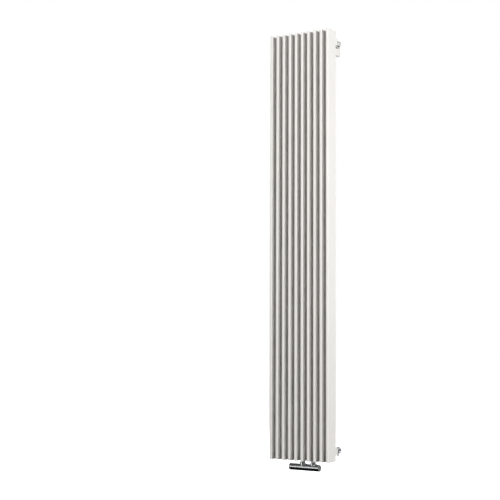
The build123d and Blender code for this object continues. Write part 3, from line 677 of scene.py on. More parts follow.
@dataclass
class HeatingCore:
    """Ten flat tubes on edge, and the two cross tubes that join them.

    Attributes:
        tubes: the CAD nodes of the flat tubes.
        wall: wall of a flat tube.
        corner: outer corner radius of a flat tube.
        rim: rounding of its ends after grinding.
        plug: thickness of its end plugs.
        gap: hairline left between wall and plug.
        header_wall: wall of a cross tube.
        header_corner: outer corner radius of a cross tube.
        header_plate: thickness of its end plates.
        seam_height: length of a weld seam between tube and cross tube.
        seam_out: distance of the seam from the flat tube's side, inwards.
        seam_back: distance of the seam from the cross tube's face.
    """

    tubes: tuple[str, ...] = tuple(f"fin_{number:02d}" for number in range(1, 11))
    wall: float = 1.5
    corner: float = 2.5
    rim: float = 0.4
    plug: float = 3.0
    gap: float = 0.05
    header_wall: float = 2.0
    header_corner: float = 3.0
    header_plate: float = 1.5
    seam_height: float = 23.0
    seam_out: float = 0.3
    seam_back: float = 0.9

    def bar(self, node: str, axis: Axis, corner: float) -> tuple[Vector, RoundedBox, Pair]:
        """Reads a straight tube from its CAD node.

        Args:
            node: the node's name.
            axis: the tube's direction.
            corner: its outer corner radius.

        Returns:
            The point of its middle line at station 0, its section and its two end stations.
        """
        low, high = box_mm(node)
        centre, size = (low + high) / 2, high - low
        u, v, along = axis.value
        centre[along] = 0
        return centre, RoundedBox(size[u], size[v], corner), (low[along], high[along])

    def open_bar(self, span: Pair, wall: float, well: float) -> list[Pair]:
        """Lays out a tube whose ends are open wells for their plugs.

        Args:
            span: first and last station.
            wall: the tube's wall.
            well: depth of each well.

        Returns:
            Station and inset of each ring.
        """
        start, end = span
        mouth = [(start + well, wall), (start, wall)]
        return [*mouth, *softened(start, end, self.rim), (end, wall), (end - well, wall)]

    def flat_tube(self, node: str) -> None:
        """Builds one flat tube.

        Args:
            node: the CAD node of the tube.
        """
        centre, section, span = self.bar(node, Axis.Z, self.corner)
        stations = self.open_bar(span, self.wall, self.plug + self.gap)
        form = Form(node.replace("fin", "flat_tube")).lofted(Axis.Z, centre, section, stations)
        fit(form, "white_powder_coat", node)

    def plugs(self, node: str, top: bool) -> None:
        """Builds the plugs in one end of all flat tubes.

        Args:
            node: the CAD node of the plugs.
            top: whether they close the upper ends.
        """
        form = Form(node.replace("fin", "tube"))
        for tube in self.tubes:
            centre, section, (low, high) = self.bar(tube, Axis.Z, self.corner)
            start = high - self.plug if top else low
            stations = softened(start, start + self.plug, self.rim / 2, self.wall + self.gap)
            form.lofted(Axis.Z, centre, section, stations)
        fit(form, "white_powder_coat", node)

    def header(self, level: str) -> None:
        """Builds one cross tube, its end plates and its weld seams.

        Args:
            level: "upper" or "lower".
        """
        node = f"{level}_header"
        centre, section, (left, right) = self.bar(node, Axis.X, self.header_corner)
        stations = self.open_bar((left, right), self.header_wall, self.header_plate + self.gap)
        tube = Form(f"{level}_cross_tube").lofted(Axis.X, centre, section, stations)
        fit(tube, "white_powder_coat", node)
        plates = Form(f"{level}_end_plates")
        for start in (left, right - self.header_plate):
            end, inset = start + self.header_plate, self.header_wall + self.gap
            plates.lofted(Axis.X, centre, section, softened(start, end, self.rim / 2, inset))
        fit(plates, "white_powder_coat", f"{node}_caps")
        seams = Form(f"{level}_tube_welds")
        foot = Vector((0, box_mm(node)[0].y - self.seam_back, centre.z - self.seam_height / 2))
        for low, high in map(box_mm, self.tubes):
            for x in (low.x + self.seam_out, high.x - self.seam_out):
                if left < x < right:
                    WeldBeads().upright(seams, foot + Vector((x, 0, 0)), self.seam_height)
        fit(seams, "white_powder_coat")

    def build(self) -> None:
        """Builds the whole core."""
        for node in self.tubes:
            self.flat_tube(node)
        self.plugs("fin_top_plugs", top=True)
        self.plugs("fin_bottom_plugs", top=False)
        self.header("upper")
        self.header("lower")


@dataclass
class WallBrackets:
    """Standoffs on the wall, the plungers that go into them, and the two carrying brackets.

    Attributes:
        screw_hole: radius of the wall screws' holes.
        bore: radius of a standoff's bore.
        floor: thickness of its floor.
        front_edge: rounding of its front edge.
        plunger_edges: roundings of a plunger at the cross tube and at its tip.
        plunger_seam: radius of the seam round it.
        pad_edge: rounding of a rubber pad.
        sheet: thickness of a carrying bracket.
        strap: width of its strap.
        sheet_edge: softened edge of the sheet.
        sheet_corner: rounding of the corners of strap and tongue.
        head_steps: edges round the strap's head.
        lower_hole: height of the strap's lower hole above its end.
        lock_hole: radius of the tongue's hole.
        web_depth: reach of the web from the strap.
        web_root: reach of its part that carries the tongue.
        web_drop: how far its front part stays below the tongue's top.
        nose: rounding of the web's corners.
        head_flats: width of a clamp screw's hexagon.
        head_height: height of that hexagon.
        head_chamfer: rise and inset of the rings at the hexagon's foot.
        head_gap: distance of a lower screw's hexagon from its standoff.
        lean: lean of the lower screws outwards, in degrees.
        shank: radius of a clamp screw.
        shank_root: how far its shank starts inside the hexagon.
    """

    screw_hole: float = 3.0
    bore: float = 10.0
    floor: float = 3.0
    front_edge: float = 1.0
    plunger_edges: Pair = (TOUCHED, 0.9)
    plunger_seam: float = 1.5
    pad_edge: float = 0.6
    sheet: float = 3.0
    strap: float = 16.0
    sheet_edge: float = 0.45
    sheet_corner: float = 1.5
    head_steps: int = 40
    lower_hole: float = 8.0
    lock_hole: float = 2.7
    web_depth: float = 42.0
    web_root: float = 9.0
    web_drop: float = 9.0
    nose: float = 4.0
    head_flats: float = 8.0
    head_height: float = 6.0
    head_chamfer: tuple[Pair, ...] = ((0.0, 0.75), (0.35, 0.15), (0.6, 0.0))
    head_gap: float = 2.0
    lean: float = 22.0
    shank: float = 2.5
    shank_root: float = 0.5

    def standoff(self, node: str) -> None:
        """Builds one chrome standoff.

        Args:
            node: the CAD node of the standoff.
        """
        centre, radius, (front, wall) = Axis.Y.line(node)
        floor = wall - self.floor
        outside = [(wall, self.screw_hole, BURR), (wall, radius, EASED), (front, radius, self.front_edge)]
        inside = [(front, self.bore, BROKEN), (floor, self.bore, BROKEN), (floor, self.screw_hole, BURR)]
        form = Form(node.replace("standoff", "sleeve")).turned(Axis.Y, centre, outside + inside)
        fit(form, "chrome_plate", node)

    def plungers(self) -> None:
        """Builds the four plungers and the seams that hold them on the cross tubes."""
        low, high = box_mm("header_plungers")
        pegs, seams = Form("back_plungers"), Form("plunger_welds")
        for node in STANDOFFS:
            centre, *_ = Axis.Y.line(node)
            radius = high.x - abs(centre.x)
            pegs.rod(Axis.Y, centre, (low.y, high.y), radius, self.plunger_edges, segments=64)
            WeldBeads(self.plunger_seam).around(seams, Axis.Y, centre + Vector((0, low.y, 0)), radius)
        fit(pegs, "zinc_steel", "header_plungers")
        fit(seams, "white_powder_coat")

    def pads(self) -> None:
        """Builds the rubber pads behind the lower standoffs."""
        low, high = box_mm("wall_pads")
        form = Form("rubber_wall_pads")
        for node in STANDOFFS[2:]:
            centre, radius, _ = Axis.Y.line(node)
            edges, lips = (self.pad_edge, self.pad_edge), (BROKEN, BROKEN)
            form.rod(Axis.Y, centre, (low.y, high.y), radius, edges, self.screw_hole, lips)
        fit(form, "black_rubber", "wall_pads")

    def carrying_bracket(self, side: str) -> None:
        """Builds one carrying bracket from its strap, tongue and web.

        Args:
            side: "left" or "right".
        """
        node = f"carrying_bracket_{side}"
        low, _ = box_mm(node)
        under, over = box_mm(f"upper_{side}_standoff")
        x, z = (under.x + over.x) / 2, (under.z + over.z) / 2
        head, half, corner = (over.z - under.z) / 2, self.strap / 2, self.sheet_corner
        drop = z - low.z
        # Plates across Y are drawn with Z first and X second.
        spread, steps = math.asin(half / head), self.head_steps
        bow = [spread - math.pi + 2 * (math.pi - spread) * k / steps for k in range(steps + 1)]
        tail = rounded([(-drop, half, corner), (-drop, -half, corner), (0, -half, 0), (0, half, 0)])[:-2]
        strap = [(head * math.cos(t), head * math.sin(t)) for t in bow] + tail
        holes = [circle((v, 0), self.screw_hole, hole=True) for v in (0, self.lower_hole - drop)]
        form = Form(f"{side}_carrying_bracket")
        middle = Vector((x, -self.sheet / 2, z))
        form.plate(Axis.Y, middle, [strap, *holes], self.sheet, self.sheet_edge)
        top = box_mm("upper_header")[0].z
        front, back = low.y, -self.sheet
        tongue = rounded([(-half, front, corner), (half, front, corner), (half, back, 0), (-half, back, 0)])
        lock = circle((0, self.lock_station()), self.lock_hole, hole=True)
        middle = Vector((x, 0, top - self.sheet / 2))
        form.plate(Axis.Z, middle, [tongue, lock], self.sheet, self.sheet_edge)
        web_front, web_root, web_top = back - self.web_depth, back - self.web_root, top - self.web_drop
        web = [
            (web_front, low.z, self.nose),
            (back / 2, low.z, 0),
            (back / 2, top, 0),
            (web_root, top, 0),
            (web_root, web_top, self.nose),
            (web_front, web_top, self.nose),
        ]
        middle = Vector((x + math.copysign(half - self.sheet / 2, x), 0, 0))
        form.plate(Axis.X, middle, [rounded(web)], self.sheet, self.sheet_edge)
        fit(form, "white_powder_coat", node)

    def lock_station(self) -> float:
        """Gives the clamp screws' station along Y."""
        low, high = box_mm("bracket_lock_screws")
        return (low.y + high.y) / 2

    def clamp_screws(self) -> None:
        """Builds the hexagon screws that clamp the plungers from below."""
        form = Form("clamp_screws")
        hexagon = Hexagon(self.head_flats, EASED)
        tongue_under = box_mm("upper_header")[0].z - self.sheet
        for node in STANDOFFS:
            low, high = box_mm(node)
            middle = (low + high) / 2
            middle.y = self.lock_station()
            upper = node.startswith("upper")
            top = (tongue_under if upper else low.z - self.head_gap) - middle.z
            foot = [(top - self.head_height + rise, inset) for rise, inset in self.head_chamfer]
            first = len(form.points)
            form.lofted(Axis.Z, middle, hexagon, [*foot, (top - BURR, 0), (top, BURR)])
            span = (top - self.shank_root, -self.bore)
            form.rod(Axis.Z, middle, span, self.shank, (0, EASED), segments=32)
            if not upper:
                lean = Matrix.Rotation(math.copysign(math.radians(self.lean), -middle.x), 3, "Y")
                form.points[first:] = [middle + lean @ (p - middle) for p in form.points[first:]]
        # The screws take the nearly black finish as painted shade in the notch under the cross tube; their
        # slot is bright zinc.
        fit(form, "zinc_steel", "bracket_lock_screws", finish=SHADE_DARKENED_ZINC)

    def build(self) -> None:
        """Builds all brackets."""
        for node in STANDOFFS:
            self.standoff(node)
        self.plungers()
        self.pads()
        self.carrying_bracket("left")
        self.carrying_bracket("right")
        self.clamp_screws()


@dataclass
class AirVent:
    """Boss, bleed screw and seam of the air vent on the upper cross tube.

    Attributes:
        bore: radius of the boss's bore.
        edge: rounding of the boss.
        square: width of the bleed screw's square.
        square_edge: rounding of that square and of the shank's tip.
        square_gap: height of the square's foot above the vent's body.
        shank: radius of the bleed screw.
        shank_drop: how far the shank reaches below the square.
    """

    bore: float = 6.55
    edge: float = 0.6
    square: float = 5.0
    square_edge: float = 0.5
    square_gap: float = 0.3
    shank: float = 2.45
    shank_drop: float = 6.0

    def build(self) -> None:
        """Builds the boss with its seam, and the bleed screw."""
        centre, radius, (low, high) = Axis.Z.line("vent_socket")
        boss = Form("vent_boss")
        boss.rod(Axis.Z, centre, (low, high), radius, (0, self.edge), self.bore, (0, BROKEN))
        fit(boss, "white_powder_coat", "vent_socket")
        seam = Form("vent_weld")
        WeldBeads().around(seam, Axis.Z, centre + Vector((0, 0, low)), radius)
        fit(seam, "white_powder_coat")
        foot, top = box_mm("vent_body")[1].z, box_mm("vent_screw")[1].z
        section = RoundedBox(self.square, self.square, self.square_edge)
        stations = softened(foot + self.square_gap, top, self.square_edge)
        key = Form("bleed_key_square").lofted(Axis.Z, centre, section, stations)
        span = (foot - self.shank_drop, foot + 2 * self.square_gap)
        key.rod(Axis.Z, centre, span, self.shank, (self.square_edge, 0), segments=48)
        fit(key, "nickel_plate", "vent_screw", body="bleed_screw")


@dataclass
class ValveBlock:
    """Chrome block on a horizontal axis, with two necks up and two threaded stubs to the wall.

    Attributes:
        axis_y: the block's axis along Y.
        axis_z: the block's axis along Z.
        radius: radius of the block.
        left: its left end.
        right: its right end.
        edge: rounding of its ends and of the necks' rims.
        pitch: distance between the two connections.
        neck: radius of a neck.
        neck_top: height of a neck above the axis.
        neck_land: height of its straight rim.
        nipple: radius of a nipple's spigot.
        seat: depth of the spigot's seat that shows.
        gap: play of spigots and grub screws.
        cove: reach of the fillet at the root of a neck or stub.
        cove_steps: edges in that fillet.
        sink: how far the fillet's foot goes into the block.
        stub: radius of a stub, and of its thread's core.
        stub_edge: rounding of its end.
        stub_end: end of a stub from the axis.
        stub_bore: radius of the stub's bore.
        bore_play: how much wider the block is bored than the stub.
        cone: radius of the sealing cone at its mouth.
        cone_depth: depth of that cone.
        bore_floor: floor of the bore from the axis.
        waterway: radius of the passage in that floor.
        crest: radius of the thread's crest.
        thread_start: first station of the thread from the axis.
        thread_runout: straight stretch before it.
        thread_pitch: pitch of the three-quarter inch pipe thread.
        thread_half: half the ridge's width, as a share of the pitch.
        thread_root: how far the ridge is rooted in the core.
        thread_flat: share of the ridge's width at its crest.
        thread_tip: share of the ridge's height at its ends.
        thread_growth: share that it gains in a turn from there.
        thread_steps: sections of the ridge in a turn.
        grub: radius of a grub screw.
        grub_length: depth of its hexagon socket.
        grub_floor: depth of the piece under that socket.
        grub_drop: its distance below the neck's rim.
        grub_key: width of its hexagon socket.
        grub_corner: rounding of that socket's corners.
    """

    axis_y: float = -47.5
    axis_z: float = -934.0
    radius: float = 14.0
    left: float = -44.0
    right: float = 38.0
    edge: float = 0.6
    pitch: float = 50.0
    neck: float = 11.5
    neck_top: float = 22.0
    neck_land: float = 2.0
    nipple: float = 9.0
    seat: float = 6.0
    gap: float = 0.1
    cove: float = 1.7
    cove_steps: int = 6
    sink: float = 0.03
    stub: float = 12.0
    stub_edge: float = 0.8
    stub_end: float = 29.0
    stub_bore: float = 7.0
    bore_play: float = 0.2
    cone: float = 9.5
    cone_depth: float = 4.0
    bore_floor: float = 12.0
    waterway: float = 4.0
    crest: float = 13.2
    thread_start: float = 17.0
    thread_runout: float = 1.5
    thread_pitch: float = 1.814
    thread_half: float = 0.49
    thread_root: float = 0.15
    thread_flat: float = 0.22
    thread_tip: float = 0.15
    thread_growth: float = 3.0
    thread_steps: int = 60
    grub: float = 2.5
    grub_length: float = 1.5
    grub_floor: float = 2.2
    grub_drop: float = 3.0
    grub_key: float = 2.5
    grub_corner: float = 0.05

    def centre(self, x: float = 0.0) -> Vector:
        """Gives a point on the block's axis."""
        return Vector((x, self.axis_y, self.axis_z))

    def branch(
        self, name: str, axis: Axis, x: float, radius: float, profile: Sequence[Corner], segments: int = 96
    ) -> Form:
        """Makes a round branch that grows out of the block through a cove.

        Args:
            name: the branch's name.
            axis: its direction.
            x: its station on the block.
            radius: its radius at the root.
            profile: station, radius and rounding of its corners above the cove, from the wall
                inwards to the axis.
            segments: faces round the branch.

        Returns:
            The form of the branch.
        """
        off_axis = math.cos if axis is Axis.Y else math.sin

        def on_block(r: float, a: float) -> float:
            """Gives the height of the block's surface at a radius and turn of the branch."""
            return math.sqrt(self.radius ** 2 - (r * off_axis(a)) ** 2)

        def cove(a: float, t: float) -> Pair:
            """Lays out the cove.

            Args:
                a: turn about the branch.
                t: share of the way from the block to the branch's wall.

            Returns:
                Radius and height.
            """
            low, bend, back = on_block(radius + self.cove, a), on_block(radius, a), 1 - t
            height = back ** 2 * low + 2 * t * back * bend + t ** 2 * (bend + self.cove) - self.sink * back
            return radius + back ** 2 * self.cove, height

        turns = [2 * math.pi * j / segments for j in range(segments)]
        # The shell starts inside the block, from a tip on the branch's axis and a ring under the cove.
        tip, root = 0.01, (0.8 * radius, 0.5)
        shapes = [[(tip, 0.0)] * segments, [root] * segments]
        shapes += [[cove(a, k / self.cove_steps) for a in turns] for k in range(self.cove_steps + 1)]
        shapes += [[(max(r, tip), station)] * segments for station, r in rounded(profile)]
        centre = self.centre(x)
        rings = [[axis.polar(centre, r, a, h) for a, (r, h) in zip(turns, shape)] for shape in shapes]
        return Form(name).swept(rings)

    def block(self) -> None:
        """Builds the turned block, bored for its stubs."""
        ends, edges = (self.left, self.right), (self.edge, self.edge)
        body = Form("valve_block").rod(Axis.X, self.centre(), ends, self.radius, edges, segments=128)
        depth, width = (self.bore_floor / 2 - self.bore_play, self.stub_end), self.stub_bore + self.bore_play
        places = [self.centre(side * self.pitch / 2) for side in CONNECTIONS.values()]
        bores = [Form("bore").rod(Axis.Y, place, depth, width) for place in places]
        fit(body, "chrome_plate", "valve_body", bores=bores)

    def necks(self) -> None:
        """Builds the two necks with the grub screws at their backs."""
        top, well = self.neck_top, self.nipple + self.gap
        screws = Form("neck_screws")
        for word, side in CONNECTIONS.items():
            x = side * self.pitch / 2
            profile = [
                (top - self.neck_land, self.neck, 0),
                (top, self.neck, self.edge),
                (top, well, BROKEN),
                (top - self.seat, well, 0),
                (top - self.seat, 0, 0),
            ]
            neck = self.branch(f"{word}_neck", Axis.Z, x, self.neck, profile)
            centre = self.centre(x) + Vector((0, 0, top - self.grub_drop))
            floor = self.neck - self.grub_floor
            depth = (floor - self.gap, 2 * self.neck)
            hole = Form("hole").rod(Axis.Y, centre, depth, self.grub + self.gap / 2, segments=48)
            fit(neck, "chrome_plate", bores=[hole])
            socket = Hexagon(self.grub_key, self.grub_corner).ring(0)[::-1]
            face = centre + Vector((0, self.neck - self.grub_length / 2, 0))
            screws.plate(Axis.Y, face, [circle((0, 0), self.grub), socket], self.grub_length, BURR)
            span = (floor, self.neck - self.grub_length + self.gap)
            screws.rod(Axis.Y, centre, span, self.grub - self.gap, segments=48)
        fit(screws, "zinc_steel", "neck_grub_screws")

    def stubs(self) -> None:
        """Builds the two pipe stubs and their threads."""
        end, floor = self.stub_end, self.bore_floor
        profile = [
            (self.thread_start - self.thread_runout, self.stub, 0),
            (end, self.stub, self.stub_edge),
            (end, self.cone, BURR),
            (end - self.cone_depth, self.stub_bore, BURR),
            (floor, self.stub_bore, 0),
            (floor, self.waterway, BROKEN),
            (floor / 2, self.waterway, 0),
            (floor / 2, 0, 0),
        ]
        for word, side in CONNECTIONS.items():
            x = side * self.pitch / 2
            fit(self.branch(f"{word}_stub", Axis.Y, x, self.stub, profile), "chrome_plate")
            fit(Form(f"{word}_thread").swept(self.thread_rings(x)), "chrome_plate")

    def thread_rings(self, x: float) -> list[list[Vector]]:
        """Winds the ridge of one pipe thread, which fades at its ends.

        Args:
            x: the stub's station on the block.

        Returns:
            The ridge's sections along its helix.
        """
        half = self.thread_pitch * self.thread_half
        first, last = self.thread_start + half, self.stub_end - half - EASED
        turns = (last - first) / self.thread_pitch
        steps = round(turns * self.thread_steps)
        root, flat = self.stub - self.thread_root, half * self.thread_flat
        rings = []
        for turn in (turns * i / steps for i in range(steps + 1)):
            fade = min(1.0, self.thread_tip + min(turn, turns - turn) * self.thread_growth)
            crest = self.stub + (self.crest - self.stub) * fade
            station = first + turn * self.thread_pitch
            ridge = [(root, -half), (crest, -flat), (crest, flat), (root, half)]
            rings.append(
                [Axis.Y.polar(self.centre(x), r, 2 * math.pi * turn, station + s) for r, s in ridge]
            )
        return rings

    def build(self) -> None:
        """Builds the block with its branches."""
        self.block()
        self.necks()
        self.stubs()


@dataclass
class Connections:
    """Welded sockets under the lower cross tube and the chrome nipples screwed into them.

    Attributes:
        socket_bore: radius of a socket's bore.
        socket_edge: rounding of its lower edge.
        socket_seam: radius of the seam round it.
        collar: radius of a nipple between neck and socket.
        thread: radius of the nipple's thread.
        thread_edge: rounding of the thread's end.
        bore: radius of its waterway.
    """

    socket_bore: float = 10.45
    socket_edge: float = 0.7
    socket_seam: float = 1.5
    collar: float = 10.0
    thread: float = 10.4
    thread_edge: float = 0.6
    bore: float = 6.5

    def build(self) -> None:
        """Builds both sockets with their seams, and both nipples."""
        valve = ValveBlock()
        rim = valve.axis_z + valve.neck_top
        seams = Form("socket_welds")
        for word in CONNECTIONS:
            centre, radius, (low, high) = Axis.Z.line(f"{word}_socket")
            socket, edges = Form(f"{word}_boss"), (self.socket_edge, 0)
            socket.rod(Axis.Z, centre, (low, high), radius, edges, self.socket_bore, (BROKEN, 0))
            fit(socket, "white_powder_coat", f"{word}_socket")
            WeldBeads(self.socket_seam).around(seams, Axis.Z, centre + Vector((0, 0, high)), radius)
            *_, (foot, top) = Axis.Z.line(f"{word}_nipple")
            profile = [
                (foot, self.bore, BURR),
                (foot, valve.nipple, EASED),
                (rim, valve.nipple, 0),
                (rim, self.collar, EASED),
                (low, self.collar, BURR),
                (low, self.thread, TOUCHED),
                (top, self.thread, self.thread_edge),
                (top, self.bore, BURR),
            ]
            nipple = Form(f"{word}_union").turned(Axis.Z, centre, profile)
            fit(nipple, "chrome_plate", f"{word}_nipple")
        fit(seams, "white_powder_coat")


@dataclass
class ReturnSpring:
    """Coil spring in the thermostatic insert, drawn at one fixed length; the real one shortens as the
    spindle closes the valve.

    Attributes:
        wire: radius of the wire.
        turns: turns from end to end.
        closed_turns: turns at each end that lie close together.
        closed_pitch: rise of such a turn.
        sections: sections of the wire in a turn.
        facets: points round the wire.
    """

    wire: float = 0.45
    turns: float = 3.5
    closed_turns: float = 0.75
    closed_pitch: float = 1.0
    sections: int = 48
    facets: int = 14

    def rise(self, turn: float, length: float) -> float:
        """Gives how far the wire has climbed.

        Args:
            turn: turns from the start.
            length: climb from the first section to the last.

        Returns:
            The climb up to there.
        """
        seat = self.closed_turns * self.closed_pitch
        left = self.turns - turn
        if turn < self.closed_turns:
            return turn * self.closed_pitch
        if left < self.closed_turns:
            return length - left * self.closed_pitch
        share = (turn - self.closed_turns) / (self.turns - 2 * self.closed_turns)
        return seat + share * (length - 2 * seat)

    def build(self) -> None:
        """Winds the spring and stretches it from the insert to the spindle's collar."""
        centre, outside, (low, high) = Axis.X.line("return_spring")
        length = high - low - 2 * self.wire
        rings = []
        for turn in (i / self.sections for i in range(round(self.turns * self.sections) + 1)):
            station = low + self.wire + self.rise(turn, length)
            section = circle((outside - self.wire, station), self.wire, self.facets)
            rings.append([Axis.X.polar(centre, r, 2 * math.pi * turn, s) for r, s in section])
        spring = Form("spindle_return_spring").swept(rings).made()
        spring.data.materials.append(SLOT_FINISH["spring_steel"].material())
        spring.data.shade_smooth()
        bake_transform(spring)
        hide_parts("return_spring")
        LOG.info("%s: %d faces from radiator to plug", spring.name, len(spring.data.polygons))


@dataclass
class ThermostatHead:
    """Chrome hand grip on the valve's left end, with its lid, its scale and the pointer.

    Attributes:
        grip_bore: radius of the grip's bore.
        inner_edge: rounding of the grip's edge at the pointer ring.
        outer_edge: rounding of its outer edge.
        crown: rise of the lid's middle.
        crown_steps: edges from the lid's middle to its rim.
        lid_edge: rounding of the lid's rim.
        settings: highest number on the scale.
        step: angle between two numbers, in degrees.
        figure: height of a number.
        figure_station: distance of the numbers from the grip's inner edge.
        pointer: height of the pointer's sign.
        pointer_station: distance of the pointer from the fixed ring's inner edge.
        pointer_lift: angle of the pointer above the front, in degrees.
        print_rise: how far the print stands above the chrome.
    """

    grip_bore: float = 12.2
    inner_edge: float = 0.6
    outer_edge: float = 0.9
    crown: float = 0.6
    crown_steps: int = 8
    lid_edge: float = 0.25
    settings: int = 5
    step: float = 72.0
    figure: float = 4.2
    figure_station: float = 2.2
    pointer: float = 2.6
    pointer_station: float = 0.9
    pointer_lift: float = 30.0
    print_rise: float = 0.06

    def grip(self) -> None:
        """Builds the grip and its lid."""
        centre, radius, (outer, inner) = Axis.X.line("thermostat_knob")
        edges, lips = (self.inner_edge, self.outer_edge), (BURR, BROKEN)
        grip = Form("thermostat_grip")
        grip.rod(Axis.X, centre, (inner, outer), radius, edges, self.grip_bore, lips, segments=128)
        fit(grip, "chrome_plate", "thermostat_knob", body="knob")
        _, rim, (face, back) = Axis.X.line("knob_lid")
        shares = [k / self.crown_steps for k in range(self.crown_steps)]
        dome = [(face + self.crown * share ** 2, rim * share, 0) for share in shares]
        edge = [(face + self.crown, rim, self.lid_edge), (back, rim, 0), (back, 0, 0)]
        lid = Form("grip_lid").turned(Axis.X, centre, dome + edge, segments=128)
        fit(lid, "chrome_plate", "knob_lid", body="knob")

    def wrapped(self, form: Form, text: str, size: float, x: float, turn: float, radius: float) -> None:
        """Prints a sign round the grip.

        Args:
            form: the form that takes it.
            text: the sign.
            size: its height.
            x: the station of its foot.
            turn: its angle about +X from the front, in degrees.
            radius: radius of the surface.
        """
        curve = bpy.data.curves.new(form.name, "FONT")
        curve.body = text
        curve.size = size
        curve.align_x = "CENTER"
        curve.extrude = self.print_rise
        curve.resolution_u = 6
        centre = ValveBlock().centre()

        def bent(p: Vector) -> Vector:
            """Bends a point of the flat sign round the grip."""
            a, reach = math.radians(turn) - p.x / radius, radius + self.print_rise + p.z
            return centre + Vector((x - p.y, -reach * math.cos(a), -reach * math.sin(a)))

        form.take(curve, bent)

    def scale(self) -> None:
        """Prints the plain number scale on the grip and the pointer on the fixed ring."""
        _, radius, (_, inner) = Axis.X.line("thermostat_knob")
        foot = inner - self.figure_station
        numbers = Form("setting_numbers")
        for number in range(1, self.settings + 1):
            turn = (number - (self.settings + 1) / 2) * self.step - self.pointer_lift
            self.wrapped(numbers, str(number), self.figure, foot, turn, radius)
        fit(numbers, None, body="knob", finish=INK)
        pointer = Form("pointer_mark")
        foot = box_mm("head_carrier")[1].x - self.pointer_station
        self.wrapped(pointer, "I", self.pointer, foot, -self.pointer_lift, radius)
        fit(pointer, None, finish=INK)

    def build(self) -> None:
        """Builds the head's outside."""
        self.grip()
        self.scale()


@dataclass
class ReturnCap:
    """Chrome cover cap over the return shut-off.

    Attributes:
        bore: radius of its hollow.
        bore_edge: rounding of the hollow's floor.
        end: thickness of its end.
        edge: rounding of its outer edge.
        lip: rounding of its open edge.
    """

    bore: float = 12.5
    bore_edge: float = 0.5
    end: float = 2.0
    edge: float = 1.2
    lip: float = 0.6

    def build(self) -> None:
        """Builds the cap."""
        centre, radius, (mouth, face) = Axis.X.line("shutoff_cap")
        floor = face - self.end
        outside = [(mouth, self.bore, BURR), (mouth, radius, self.lip), (face, radius, self.edge)]
        inside = [(face, 0, 0), (floor, 0, 0), (floor, self.bore, self.bore_edge)]
        cap = Form("return_cover_cap").turned(Axis.X, centre, outside + inside, segments=128)
        fit(cap, "chrome_plate", "shutoff_cap", body="cover_cap")


def dress_carried_nodes() -> None:
    """Gives every CAD node the finish of its own material slot."""
    for part in frame["record"]["subparts"]:
        mesh = frame["nodes"][part["node"]].data
        mesh.materials.clear()
        mesh.materials.append(SLOT_FINISH[part["material_slot"]].material())


